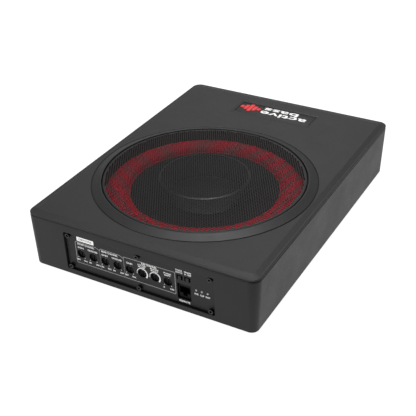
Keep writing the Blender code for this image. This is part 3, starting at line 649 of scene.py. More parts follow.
# ---- housing ----
def housing(mats):
    wall_top = FOOT_HEIGHT + WALL_HEIGHT
    rim = 2.0 * MM
    loops = [
        body_loop(DRAFT_INSET + 1.0 * MM, FOOT_HEIGHT),
        body_loop(DRAFT_INSET + 0.4 * MM, FOOT_HEIGHT + 0.2 * MM),
        body_loop(DRAFT_INSET + 0.1 * MM, FOOT_HEIGHT + 0.55 * MM),
        body_loop(DRAFT_INSET, FOOT_HEIGHT + 1.0 * MM),
        body_loop(0, wall_top),
    ]
    for turn in quarter(9)[1:]:
        loops.append(body_loop(rim * (1 - math.cos(turn)), wall_top + rim * math.sin(turn)))
    loops += [body_loop(WALL, SEAM_Z), body_loop(WALL + DRAFT_INSET, FLOOR_Z)]
    bm = bmesh.new()
    loop_rows(bm, loops)
    tub = to_object("housing", bm, mats["casting"])
    bm = bmesh.new()
    for matrix, width, height, back in (
        (FRONT, PANEL_WIDTH, PANEL_HEIGHT, 7.5 * MM), (BACK, REAR_WIDTH, REAR_HEIGHT, 10.5 * MM)
    ):
        box(bm, (width + 7 * MM, height + 6 * MM, back), (0, 0, -1.5 * MM - back / 2), matrix)
    shaped(tub, to_object("pads", bm, mats["casting"]), "UNION")
    bm = bmesh.new()
    sides = (
        (FRONT, PANEL_WIDTH, PANEL_HEIGHT, PLATE_DEPTH, 0.6 * MM),
        (BACK, REAR_WIDTH, REAR_HEIGHT, REAR_DEPTH, 0.8 * MM),
    )
    for matrix, width, height, depth, edge in sides:
        bottom = -(depth + PLATE_THICKNESS + GAP)
        pocket = [rounded_rectangle(width / 2, height / 2, 2.0 * MM, bottom, 6)]
        for turn in quarter(9):
            grow = edge * (1 - math.cos(turn))
            pocket.append(
                rounded_rectangle(
                    width / 2 + grow, height / 2 + grow, 2.0 * MM + grow, edge * (math.sin(turn) - 1), 6
                )
            )
        pocket.append(rounded_rectangle(width / 2 + edge, height / 2 + edge, 2.0 * MM + edge, 4 * MM, 6))
        part = bmesh.new()
        loop_rows(part, pocket)
        bmesh.ops.transform(part, matrix=matrix, verts=part.verts)
        holder = bpy.data.meshes.new("pocket")
        part.to_mesh(holder)
        part.free()
        bm.from_mesh(holder)
        bpy.data.meshes.remove(holder)
    shaped(tub, to_object("pockets", bm, mats["casting"]))
    bm = bmesh.new()
    box(bm, (PANEL_WIDTH - 11 * MM, PANEL_HEIGHT - 15 * MM, 17 * MM), (0, 0, -11.5 * MM), FRONT)
    box(bm, (REAR_WIDTH - 19 * MM, REAR_HEIGHT - 6 * MM, 20 * MM), (0, 0, -13 * MM), BACK)
    for x, y in FOOT_PLACES:
        cylinder(bm, 8.4 * MM, 0.8 * MM, -2 * MM, TINY, at(x, y, FOOT_HEIGHT))
    for x, y in UNDERSIDE_SCREWS:
        spin(
            bm, [(0, 1.9 * MM), (4.2 * MM, 1.9 * MM), (4.6 * MM, 0), (4.6 * MM, -2 * MM), (0, -2 * MM)],
            TINY, at(x, y, FOOT_HEIGHT),
        )
    shaped(tub, to_object("ways", bm, mats["casting"]))
    bm = bmesh.new()
    box(bm, (18 * MM, 20.6 * MM, 14 * MM), (JACK_U, JACK_V, -11.5 * MM), FRONT)
    for matrix, places in ((FRONT, FRONT_SCREWS), (BACK, REAR_SCREWS)):
        for u, v in places:
            cylinder(bm, SCREW_HOLE, -SCREW_DEPTH, 0, 12, matrix @ at(u, v))
    shaped(tub, to_object("holes", bm, mats["casting"]))
    soften(tub, 12)
    level(tub, 200e-6)
    piece(tub, nodes=["housing_tub"])
    for i, (x, y) in enumerate(UNDERSIDE_SCREWS):
        bm = bmesh.new()
        cap_screw(bm, head=1.6 * MM, shank=2.0 * MM)
        turn = at(x, y, FOOT_HEIGHT + 1.75 * MM) @ Matrix.Rotation(math.pi, 4, "X")
        piece(to_object(f"underside_screw_{i + 1}", bm, mats["fastener"], at=turn))


def feet(mats):
    for i, (x, y) in enumerate(FOOT_PLACES):
        bm = bmesh.new()
        profile = [(0, 0.35 * MM), (3.2 * MM, 0.35 * MM), (3.6 * MM, 0), (6.9 * MM, 0)]
        profile += arc(
            6.9 * MM, 1.1 * MM, 1.1 * MM, 1.1 * MM, -90, 0, 6
        )[1:] + [(8 * MM, 2.5 * MM), (0, 2.5 * MM)]
        spin(bm, profile, ROUND, at(x, y))
        piece(
            to_object(f"rubber_foot_{i + 1}", bm, mats["rubber"]), nodes=[f"foot_{i + 1}"],
        )


def cover(mats):
    edge = 1.0 * MM
    loops = [body_loop(0.7 * MM, COVER_UNDERSIDE), body_loop(0, COVER_UNDERSIDE + 0.4 * MM)]
    for turn in quarter(9):
        loops.append(body_loop(edge * (1 - math.cos(turn)), LIP_Z - edge * (1 - math.sin(turn))))
    loops += [
        body_loop(BEVEL_OUTER, LIP_Z),
        body_loop(BEVEL_OUTER + 0.25 * MM, LIP_Z + 0.03 * MM),
        body_loop(BEVEL_INNER - 0.5 * MM, TOP_Z - 0.07 * MM, 4.2 * MM),
        body_loop(BEVEL_INNER, TOP_Z, 4.0 * MM),
    ]
    bm = bmesh.new()
    loop_rows(bm, loops)
    top = to_object("top_shell", bm, mats["cover"])
    groove = 0.8 * MM
    bm = bmesh.new()
    opening = [
        (0, -8 * MM),
        (117 * MM, -8 * MM),
        (117 * MM, -groove),
        (CREASE_RADIUS - 0.3 * MM, -groove),
        (CREASE_RADIUS + 0.35 * MM, -0.1 * MM),
        (CREASE_RADIUS + 0.6 * MM, 0.0),
        (CREASE_RADIUS + 0.8 * MM, 0.2 * MM),
        (CREASE_RADIUS + 0.8 * MM, 8 * MM),
        (0, 8 * MM),
    ]
    spin(bm, opening, FINE, AXIS @ Matrix.Translation((0, 0, TOP_Z)))
    shaped(top, to_object("opening", bm, mats["cover"]))
    foot = CREASE_RADIUS - 0.7 * MM
    bezel = [
        (foot, -1.6 * MM),
        (foot, -0.25 * MM),
        (foot - 0.25 * MM, 0.05 * MM),
        (BEZEL_RADIUS + 1.6 * MM, BEZEL_RISE - 0.4 * MM),
        (BEZEL_RADIUS + 1.0 * MM, BEZEL_RISE - 0.15 * MM),
        (BEZEL_RADIUS + 0.3 * MM, BEZEL_RISE),
        (BEZEL_RADIUS - 0.2 * MM, BEZEL_RISE - 0.03 * MM),
        (WELL_RADIUS + 0.25 * MM, BEZEL_RISE - 0.2 * MM),
        (WELL_RADIUS + 0.05 * MM, BEZEL_RISE - 0.5 * MM),
        (WELL_RADIUS, BEZEL_RISE - 0.8 * MM),
        (WELL_RADIUS, -2.0 * MM),
        (LEDGE_RADIUS, -2.0 * MM),
        (LEDGE_RADIUS, -BOSS_DEPTH),
        (BOSS_RADIUS, -BOSS_DEPTH),
        (BOSS_RADIUS, -1.6 * MM),
    ]
    bm = bmesh.new()
    spin(bm, bezel, FINE, AXIS @ Matrix.Translation((0, 0, TOP_Z)))
    shaped(top, to_object("bezel", bm, mats["cover"]), "UNION")
    bm = bmesh.new()
    badge_recess(bm)
    shaped(top, to_object("recess", bm, mats["cover"]))
    top.data.materials.clear()
    top.data.materials.append(mats["cover"])
    top.data.materials.append(mats["well"])
    for face in top.data.polygons:
        corners = [top.data.vertices[i].co for i in face.vertices]
        face.material_index = int(in_a_recess(corners, face.normal))
    soften(top, 12)
    level(top, 200e-6)
    piece(top, nodes=["top_cover"])


def in_a_recess(corners, normal):
    """Whether a face of the cover lies in the driver's well or on a straight wall of the badge's recess."""
    reach = max(math.hypot(corner.x, corner.y - DRIVER_Y) for corner in corners)
    if reach < WELL_RADIUS + 0.02 * MM and max(corner.z for corner in corners) < TOP_Z + 2.9 * MM:
        return True
    near = 0.1 * MM
    ys = [corner.y for corner in corners]
    across = max(abs(corner.x) for corner in corners) < BADGE_HALF_WIDTH + near
    return abs(normal.z) < 0.1 and across and min(ys) > BADGE_FRONT_Y - near and max(ys) < BADGE_BACK_Y + near


def badge_recess(bm):
    over = 1.5 * MM
    grow = (BADGE_SLOPE_DEPTH + over) / BADGE_SLOPE_DEPTH
    half = BADGE_HALF_WIDTH
    wide = half + BADGE_SLOPE_SIDE * grow
    front = BADGE_FRONT_Y - BADGE_SLOPE_FRONT * grow
    back = BADGE_BACK_Y + BADGE_SLOPE_BACK * grow
    low = [(half, BADGE_FRONT_Y), (half, BADGE_BACK_Y), (-half, BADGE_BACK_Y), (-half, BADGE_FRONT_Y)]
    high = [(wide, front), (wide, back), (-wide, back), (-wide, front)]
    loop_rows(
        bm,
        [
            [(x, y, TOP_Z - BADGE_DEPTH) for x, y in low],
            [(x, y, TOP_Z - BADGE_SLOPE_DEPTH) for x, y in low],
            [(x, y, TOP_Z + over) for x, y in high],
        ],
    )


# ---- text and marks ----
def words(bm, text, size, place, matrix, weight=0.0, depth=PRINT_DEPTH, fit=None):
    """Raised lettering added to a mesh, its middle at a place; fit is the width and height it fills."""
    curve = bpy.data.curves.new("letters", "FONT")
    curve.body = text
    curve.size = size
    curve.offset = weight
    curve.extrude = depth / 2
    curve.resolution_u = 3
    curve.align_x = "CENTER"
    curve.align_y = "CENTER"
    holder = bpy.data.objects.new("letters", curve)
    bpy.context.scene.collection.objects.link(holder)
    bpy.context.view_layer.update()
    mesh = bpy.data.meshes.new_from_object(holder.evaluated_get(bpy.context.evaluated_depsgraph_get()))
    stretch = Matrix()
    if fit:
        corners = np.array([v.co for v in mesh.vertices])
        low, high = corners.min(0), corners.max(0)
        scale = Matrix.Diagonal((fit[0] / (high[0] - low[0]), fit[1] / (high[1] - low[1]), 1, 1))
        stretch = scale @ at(-(low[0] + high[0]) / 2, -(low[1] + high[1]) / 2)
    mesh.transform(matrix @ at(*place) @ stretch @ at(0, 0, depth / 2))
    bm.from_mesh(mesh)
    bpy.data.meshes.remove(mesh)
    bpy.data.objects.remove(holder, do_unlink=True)
    bpy.data.curves.remove(curve)


def ribbon(bm, points, width, matrix, lift, closed=False, widths=None):
    """A flat raised line through points (u, v)."""
    count = len(points)
    sides = []
    for i, (u, v) in enumerate(points):
        before = points[i - 1] if closed or i else points[i]
        after = points[(i + 1) % count] if closed or i < count - 1 else points[i]
        a = Vector((u - before[0], v - before[1]))
        b = Vector((after[0] - u, after[1] - v))
        a = a.normalized() if a.length else b.normalized()
        b = b.normalized() if b.length else a
        along = (a + b).normalized()
        out = Vector((-along.y, along.x))
        half = (widths[i] if widths else width) / 2 / max(0.5, abs(along.dot(a)))
        sides.append(((u + out.x * half, v + out.y * half), (u - out.x * half, v - out.y * half)))
    rows = []
    for left, right in sides:
        corners = [(*left, lift), (*right, lift), (*right, lift + PRINT_DEPTH), (*left, lift + PRINT_DEPTH)]
        rows.append([matrix @ Vector(corner) for corner in corners])
    loop_rows(bm, rows, closed)


def frame_line(points):
    """A closed outline with its corners rounded."""
    radius, steps = 1.0 * MM, 4
    rounded = []
    count = len(points)
    for i, point in enumerate(points):
        here = Vector(point)
        before = Vector(points[i - 1]) - here
        after = Vector(points[(i + 1) % count]) - here
        reach = min(radius, before.length / 2, after.length / 2)
        one = here + before.normalized() * reach
        two = here + after.normalized() * reach
        for k in range(steps + 1):
            t = k / steps
            rounded.append(tuple(one * (1 - t) ** 2 + here * 2 * t * (1 - t) + two * t * t))
    return rounded


def badge(mats):
    floor = TOP_Z - BADGE_DEPTH + GAP
    middle = (BADGE_FRONT_Y + BADGE_BACK_Y) / 2
    size = (2 * BADGE_HALF_WIDTH - 1.0 * MM, BADGE_BACK_Y - BADGE_FRONT_Y - 1.0 * MM, 0.8 * MM)
    bm = bmesh.new()
    box(bm, size, (0, middle, floor + size[2] / 2), chamfer=0.18 * MM)
    piece(to_object("badge", bm, mats["cover"]), nodes=["badge_plate"])
    face = floor + size[2]
    turned = Matrix.Rotation(math.pi, 4, "Z")
    bm = bmesh.new()
    words(
        bm, "active", 10 * MM, (-12.0 * MM, -140.2 * MM, face), turned, weight=0.16 * MM, depth=0.35 * MM,
        fit=(62 * MM, 9.4 * MM),
    )
    words(
        bm, "bass", 10 * MM, (-5.5 * MM, -150.3 * MM, face), turned, weight=0.16 * MM, depth=0.35 * MM,
        fit=(46 * MM, 9.0 * MM),
    )
    piece(to_object("badge_lettering", bm, mats["label"], tidy=False))
    bm = bmesh.new()
    for i, height in enumerate((6.0, 12.0, 19.0, 12.0, 6.0)):
        x = (-46.4 + 5.7 * i) * MM
        outline = rounded_rectangle(2.35 * MM, height * MM / 2, 1.2 * MM, 0, 5)
        loop_rows(
            bm,
            [[(x + px, 145.9 * MM + py, face + lift) for px, py, _ in outline] for lift in (0, 0.35 * MM)],
        )
    piece(to_object("badge_mark", bm, mats["mark"]))


# ---- grille ----
GRILLE_FACE = TOP_Z + 3.0 * MM
GRILLE_SHEET = 0.45 * MM
GRILLE_PITCH = 2.85 * MM
GRILLE_HOLE = 1.16 * MM
GRILLE_REACH = 109.6 * MM
GRILLE_EDGE = 111.5 * MM
GRILLE_FIELD = 0.8 * MM


def grille_lift(x, y):
    """The sheet's height above its rim: a low round field in the middle."""
    share = np.clip((50.4 * MM - np.hypot(x, y)) / (1.8 * MM), 0, 1)
    return GRILLE_FIELD * ease(share)


def grille_cells():
    row = GRILLE_PITCH * math.sqrt(3) / 2
    reach = int(GRILLE_REACH / row) + 2
    cells = []
    for j in range(-reach, reach + 1):
        for i in range(-reach - 12, reach + 13):
            x = (i + 0.5 * (j % 2)) * GRILLE_PITCH
            y = j * row
            if math.hypot(x, y) < GRILLE_REACH:
                cells.append((x, y))
    return cells


def hexagon_corners(x, y):
    radius = GRILLE_PITCH / math.sqrt(3)
    return [
        (
            x + radius * math.cos(math.radians(30 + 60 * k)),
            y + radius * math.sin(math.radians(30 + 60 * k)),
        ) for k in range(6)
    ]


def sheet_mesh(name, points, tops, surface):
    """A sheet of constant thickness from a pattern of faces over flat points."""
    xy = np.array(points, float)
    z = GRILLE_FACE + grille_lift(xy[:, 0], xy[:, 1])
    count = len(xy)
    upper = np.column_stack([xy[:, 0], xy[:, 1] + DRIVER_Y, z])
    lower = upper - (0, 0, GRILLE_SHEET)
    faces = [tuple(f) for f in tops] + [tuple(i + count for i in reversed(f)) for f in tops]
    used = {}
    for f in tops:
        for a, b in zip(f, f[1:] + f[:1]):
            if (b, a) in used:
                del used[(b, a)]
            else:
                used[(a, b)] = True
    faces += [(b, a, a + count, b + count) for a, b in used]
    mesh = bpy.data.meshes.new(name)
    mesh.from_pydata(np.vstack([upper, lower]).tolist(), [], faces)
    mesh.validate()
    mesh.materials.append(surface)
    obj = bpy.data.objects.new(name, mesh)
    bpy.context.scene.collection.objects.link(obj)
    soften(obj, 38)
    return obj


def perforated(name, cells, surface):
    """A closed perforated sheet, one round hole in each six-sided cell."""
    index = {}
    points = []
    corner_ids = []
    for x, y in cells:
        ids = []
        for px, py in hexagon_corners(x, y):
            key = (round(px / MM * 1000), round(py / MM * 1000))
            near = [(key[0] + dx, key[1] + dy) for dx in (0, -1, 1) for dy in (0, -1, 1)]
            found = next((index[k] for k in near if k in index), None)
            if found is None:
                found = len(points)
                index[key] = found
                points.append((px, py))
            ids.append(found)
        corner_ids.append(ids)
    tops = []
    for (x, y), ids in zip(cells, corner_ids):
        start = len(points)
        for k in range(12):
            turn = math.radians(30 * k)
            points.append((x + GRILLE_HOLE * math.cos(turn), y + GRILLE_HOLE * math.sin(turn)))
        for k in range(6):
            inner = [start + (2 * k + 1 + m) % 12 for m in (0, 1, 2)]
            outer = (ids[k], ids[(k + 1) % 6])
            tops.append((outer[0], outer[1], inner[2], inner[1]))
            tops.append((outer[0], inner[1], inner[0]))
    return sheet_mesh(name, points, tops, surface)


def boundary_loop(cells):
    """The outline of all cells together, as one ordered loop."""
    edges = {}
    for x, y in cells:
        corners = [(round(px / MM, 3), round(py / MM, 3)) for px, py in hexagon_corners(x, y)]
        for a, b in zip(corners, corners[1:] + corners[:1]):
            edges[(a, b)] = True
    follow = {a: b for a, b in edges if (b, a) not in edges}
    start = next(iter(follow))
    loop = [start]
    while follow[loop[-1]] != start:
        loop.append(follow[loop[-1]])
    return [(x * MM, y * MM) for x, y in loop]


def grille_band(mats):
    """The smooth fold round the raised field, a solid band with no holes in it."""
    face = GRILLE_FACE + 0.04 * MM
    under = GRILLE_FACE - GRILLE_SHEET - 0.04 * MM
    low, high = 50.6 * MM, 48.4 * MM
    fold = []
    for i in range(9):
        share = i / 8
        fold.append((low + (high - low) * share, GRILLE_FIELD * ease(share)))
    profile = [(r, face + lift) for r, lift in fold] + [(r, under + lift) for r, lift in reversed(fold)]
    bm = bmesh.new()
    spin(bm, profile, FINE, AXIS)
    piece(to_object("grille_fold", bm, mats["mesh"], 38), nodes=["grille"])


def grille(mats):
    grille_band(mats)
    cells = grille_cells()
    left = [cell for cell in cells if cell[0] < -1e-6]
    right = [cell for cell in cells if cell[0] >= -1e-6]
    for name, side in (("grille_mesh_left", left), ("grille_mesh_right", right)):
        piece(perforated(name, side, mats["mesh"]), nodes=["grille"])
    inner = boundary_loop(cells)
    outer = [(x, y) for x, y, _ in circle(GRILLE_EDGE, 0, FINE)]
    flat = tessellate_polygon([[Vector((*p, 0)) for p in outer], [Vector((*p, 0)) for p in inner]])
    bm = bmesh.new()
    rim = WELL_RADIUS - 0.8 * MM
    bend = 1.3 * MM
    upper_turn = arc(rim - bend, GRILLE_FACE - bend, bend, bend, 90, 0, 6)
    lower_turn = arc(rim - bend, GRILLE_FACE - bend, bend - GRILLE_SHEET, bend - GRILLE_SHEET, 0, 90, 6)
    foot = TOP_Z - 1.7 * MM
    profile = upper_turn + [(rim, foot), (rim - GRILLE_SHEET, foot)] + lower_turn
    flat_points = outer + inner
    upper = [bm.verts.new((x, y + DRIVER_Y, GRILLE_FACE)) for x, y in flat_points]
    lower = [bm.verts.new((x, y + DRIVER_Y, GRILLE_FACE - GRILLE_SHEET)) for x, y in flat_points]
    for a, b, c in flat:
        bm.faces.new((upper[a], upper[b], upper[c]))
        bm.faces.new((lower[c], lower[b], lower[a]))
    count = len(inner)
    for i in range(count):
        a, b = FINE + i, FINE + (i + 1) % count
        bm.faces.new((upper[a], upper[b], lower[b], lower[a]))
    previous = upper[:FINE]
    for radius, height in profile:
        ring = [bm.verts.new((x, y + DRIVER_Y, z)) for x, y, z in circle(radius, height, FINE)]
        for i in range(FINE):
            j = (i + 1) % FINE
            bm.faces.new((previous[i], previous[j], ring[j], ring[i]))
        previous = ring
    for i in range(FINE):
        j = (i + 1) % FINE
        bm.faces.new((previous[i], previous[j], lower[j], lower[i]))
    obj = to_object("grille_rim", bm, mats["mesh"], 38)
    piece(obj, nodes=["grille"])


# ---- driver ----
def sectors(name, profile, count, surface, node, steps=8):
    """A ring between the basket and the cone, in sectors that share their edges."""
    half = math.pi / count
    for i in range(count):
        middle = 2 * math.pi * i / count
        bm = bmesh.new()
        spin(bm, profile, steps, AXIS, middle - half, middle + half)
        obj = to_object(f"{name}_{i + 1}", bm, surface, 40)
        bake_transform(obj)
        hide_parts(node)


def driver(mats):
    base = FLANGE_Z + GAP
    sheet = 1.0 * MM
    roll_outer, roll_inner, rise = 109.0 * MM, 84.5 * MM, 7.6 * MM
    middle, reach = (roll_outer + roll_inner) / 2, (roll_outer - roll_inner) / 2
    upper = arc(middle, base + sheet, reach, rise, 0, 180, 22)
    under = arc(middle, base, reach - sheet, rise, 180, 0, 22)
    lip = [
        (111.6 * MM, base), (111.6 * MM, base + 0.7 * MM), (111.3 * MM, base + sheet),
        (110.0 * MM, base + sheet),
    ]
    inner_lip = [(83.3 * MM, base + sheet), (83.0 * MM, base + 0.6 * MM), (83.0 * MM, base)]
    sectors(
        "roll_surround", lip + upper + inner_lip + under, 16, mats["red"],
        "surround", 10,
    )

    rim_z = FLANGE_Z
    neck_z, neck = 42.5 * MM, 25.8 * MM
    upper_side = [
        (84.0 * MM, rim_z), (78.5 * MM, rim_z), (77.4 * MM, rim_z - 0.3 * MM), (74.0 * MM, rim_z - 2.0 * MM)
    ]
    count = 24
    for i in range(1, count):
        share = i / count
        radius = 74.0 * MM + (neck - 74.0 * MM) * share
        height = rim_z - 2.0 * MM + (neck_z - rim_z + 2.0 * MM) * share
        upper_side.append((radius, height - 0.6 * MM * math.sin(math.pi * share) * 0.5))
    upper_side.append((neck, neck_z))
    under_side = [
        (neck, neck_z - 1.6 * MM), (74.5 * MM, rim_z - 3.0 * MM), (78.4 * MM, rim_z - 1.0 * MM),
        (84.0 * MM, rim_z - 1.0 * MM),
    ]
    bm = bmesh.new()
    spin(bm, upper_side + under_side, 120, AXIS)
    piece(to_object("paper_cone", bm, mats["cone"], 40), "driver_diaphragm", ["cone"])

    low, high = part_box("dust_cap")
    cap_radius, cap_base, cap_rise = 42.0 * MM, low.z, high.z - low.z
    thickness = 0.8 * MM
    upper = arc(0, cap_base, cap_radius, cap_rise, 0, 90, 18)
    under = arc(0, cap_base, cap_radius - thickness, cap_rise - thickness, 90, 0, 18)
    profile = upper[:-1] + [(0, cap_base + cap_rise), (0, cap_base + cap_rise - thickness)] + under[1:]
    bm = bmesh.new()
    spin(bm, profile, 96, AXIS)
    piece(to_object("dome_cap", bm, mats["cap"], 40), "driver_diaphragm", ["dust_cap"])

    inner, outer = 25.8 * MM, 62.0 * MM
    count = 56
    radii = [inner + (outer - inner) * i / count for i in range(count + 1)]
    heights = [38.4 * MM + 0.55 * MM * (1 - math.cos(8 * math.pi * i / count)) for i in range(count + 1)]
    upper = [(r, z + 0.6 * MM) for r, z in zip(radii, heights)][::-1]
    under = list(zip(radii, heights))
    sectors("spider_cloth", upper + under, 12, mats["cloth"], "spider", 6)


# ---- fasteners ----
def hexagon_ring(flat, z, steps):
    points = []
    for i in range(steps):
        angle = 2 * math.pi * i / steps
        off = (angle + math.pi / 6) % (math.pi / 3) - math.pi / 6
        points.append((flat / math.cos(off) * math.cos(angle), flat / math.cos(off) * math.sin(angle), z))
    return points


def cap_screw(bm, head=2.7 * MM, shank=6.0 * MM):
    """A socket head cap screw with a rounded top edge, its head's underside at 0."""
    steps = TINY

    def ring(radius, z):
        return circle(radius, z, steps)

    loops = [
        ring(1.2 * MM, -shank), ring(1.45 * MM, -shank + 0.4 * MM), ring(1.45 * MM, 0), ring(2.65 * MM, 0),
        ring(2.75 * MM, 0.1 * MM),
    ]
    loops.append(ring(2.75 * MM, head - 0.5 * MM))
    for turn in quarter(4)[1:]:
        loops.append(
            ring(2.75 * MM - 0.5 * MM * (1 - math.cos(turn)), head - 0.5 * MM + 0.5 * MM * math.sin(turn))
        )
    loops += [
        ring(1.65 * MM, head), hexagon_ring(1.32 * MM, head - 0.18 * MM, steps),
        hexagon_ring(1.25 * MM, head - 0.25 * MM, steps),
    ]
    loops.append(hexagon_ring(1.25 * MM, max(head - 1.7 * MM, 0.35 * MM), steps))
    loop_rows(bm, loops)


def screws(mats):
    for prefix, name, matrix, places, depth in (
        ("panel_screw", "cap_screw_front", FRONT, FRONT_SCREWS, PLATE_DEPTH),
        ("connector_screw", "cap_screw_back", BACK, REAR_SCREWS, REAR_DEPTH),
    ):
        for i, (u, v) in enumerate(places):
            bm = bmesh.new()
            cap_screw(bm)
            turn = matrix @ at(u, v, -depth + GAP) @ Matrix.Rotation(0.37 * i, 4, "Z")
            piece(
                to_object(f"{name}_{i + 1}", bm, mats["fastener"], at=turn), nodes=[f"{prefix}_{i + 1}"],
            )


# ---- control end ----
def plate(name, width, height, depth, surface):
    loops = []
    edges = (
        (0, -depth - PLATE_THICKNESS), (0, -depth - 0.25 * MM), (0.07 * MM, -depth - 0.07 * MM),
        (0.25 * MM, -depth),
    )
    for inset, w in edges:
        inset += PLATE_MARGIN
        loops.append(rounded_rectangle(width / 2 - inset, height / 2 - inset, 1.2 * MM, w, 6))
    bm = bmesh.new()
    loop_rows(bm, loops)
    return to_object(name, bm, surface)


def control_panel(mats):
    board = plate("control_panel", PANEL_WIDTH, PANEL_HEIGHT, PLATE_DEPTH, mats["plate"])
    bm = bmesh.new()

    def hole(u, v, radius, steps):
        cylinder(bm, radius, -9 * MM, 5 * MM, steps, at(u, v))

    for u in KNOB_US:
        hole(u, KNOB_V, KNOB_RADIUS + 0.5 * MM, ROUND)
    for u in SWITCH_US:
        box(bm, (*SWITCH_SLOT, 14 * MM), (u, SWITCH_V, -2 * MM))
    box(bm, (15.6 * MM, 19.2 * MM, 14 * MM), (JACK_U, JACK_V, -2 * MM))
    for u in LED_US:
        hole(u, LED_V, 1.6 * MM, TINY)
    for u, v in FRONT_SCREWS:
        hole(u, v, SCREW_HOLE, TINY)
    shaped(board, to_object("holes", bm, mats["plate"]))
    settle(board, FRONT)
    piece(board, nodes=["control_plate"])
    legends(mats)


def legends(mats):
    """Printed frames, ticks and words on the control panel's face."""
    face = -PLATE_DEPTH
    bm = bmesh.new()
    front = [(-76.6, -13.2), (-45.9, -13.2), (-45.9, 11.0), (-50.6, 13.6), (-75.2, 13.9), (-76.6, 12.6)]
    rear = [(-45.9, -13.2), (-16.8, -13.2), (-16.8, 10.6), (-21.4, 13.3), (-44.6, 13.8), (-45.9, 12.4)]
    sub = [(-16.8, -13.2), (43.6, -13.2), (43.6, 13.9), (-16.8, 13.0)]
    for outline in (front, rear, sub):
        ribbon(bm, frame_line([(u * MM, v * MM) for u, v in outline]), 0.7 * MM, FRONT, face, closed=True)
    piece(to_object("control_frames", bm, mats["line"]))

    bm = bmesh.new()

    def text(label, width, height, u, v):
        words(
            bm, label, 2 * MM, (u * MM, v * MM, face), FRONT, weight=0.06 * MM,
            fit=(width * MM, height * MM),
        )

    text("FRONT CHANNEL", 21.0, 2.3, -63.2, 11.6)
    text("REAR CHANNEL", 20.0, 2.3, -33.6, 11.4)
    text("SUB CHANNEL", 18.5, 2.3, 13.6, 11.9)
    names = (
        "GAIN", "CROSSOVER", "GAIN", "CROSSOVER", "GAIN", "LOW PASS|FILTER", "BASS|BOOST", "PHASE|SHIFT"
    )
    widths = (7.4, 12.4, 7.4, 12.4, 7.4, 9.6, 9.6, 8.4)
    ends = (
        ("MIN", "MAX"), ("50", "250"), ("MIN", "MAX"), ("50", "250"), ("MIN", "MAX"), None, None,
        ("0", "180"),
    )
    for knob_u, name, width, pair in zip(KNOB_US, names, widths, ends):
        u = knob_u / MM
        rows = name.split("|")
        if len(rows) == 1:
            text(rows[0], width, 2.1, u, 7.0)
        else:
            text(rows[0], width, 1.8, u, 9.3)
            text(rows[1], width * 0.9, 1.8, u, 6.9)
        if pair:
            for side, label in zip((-1, 1), pair):
                text(label, 1.35 * len(label) + 0.4, 1.9, u + 4.7 * side, -9.0)
                turn = math.radians(-90 + side * 42)
                reach = (5.6 * MM, 6.9 * MM)
                points = [(knob_u + r * math.cos(turn), KNOB_V + r * math.sin(turn)) for r in reach]
                ribbon(bm, points, 0.5 * MM, FRONT, face)
        else:
            turns = [math.radians(195 - 235 * k / 30) for k in range(31)]
            points = [(knob_u + 6.1 * MM * math.cos(a), KNOB_V + 6.1 * MM * math.sin(a)) for a in turns]
            ribbon(bm, points, 0, FRONT, face, widths=[(0.45 + 1.15 * k / 30) * MM for k in range(31)])
    for u, top, under in ((48.4, "SOURCE", "LOW HI"), (58.4, "PHASE", "0 180")):
        text(top, 7.6, 1.9, u, 18.2)
        text(under, 7.6, 1.9, u, 15.6)
    text("REMOTE", 12.4, 2.4, 53.4, -19.6)
    for led_u, label, width in zip(LED_US, ("PWR", "CLIP", "PROT"), (4.4, 4.6, 5.0)):
        text(label, width, 2.0, led_u / MM, -4.8)
    piece(to_object("control_legends", bm, mats["ink"], tidy=False))

    bm = bmesh.new()
    left, right, bottom, top = -73.9 * MM, -52.8 * MM, 15.4 * MM, 20.5 * MM
    outline = rounded_rectangle((right - left) / 2, (top - bottom) / 2, 0.5 * MM, 0, 4)
    middle = FRONT @ at((left + right) / 2, (bottom + top) / 2, face)
    loops = [[middle @ Vector((x, y, lift)) for x, y, _ in outline] for lift in (0, 0.12 * MM)]
    loop_rows(bm, loops)
    piece(to_object("panel_label", bm, mats["label"]))
    bm = bmesh.new()
    spot = ((left + right) / 2, (bottom + top) / 2, face + 0.12 * MM)
    words(
        bm, "SUBWOOFER", 2.9 * MM, spot, FRONT, weight=0.03 * MM, depth=0.03 * MM, fit=(16.5 * MM, 2.2 * MM)
    )
    piece(to_object("panel_label_print", bm, mats["satin"], tidy=False))


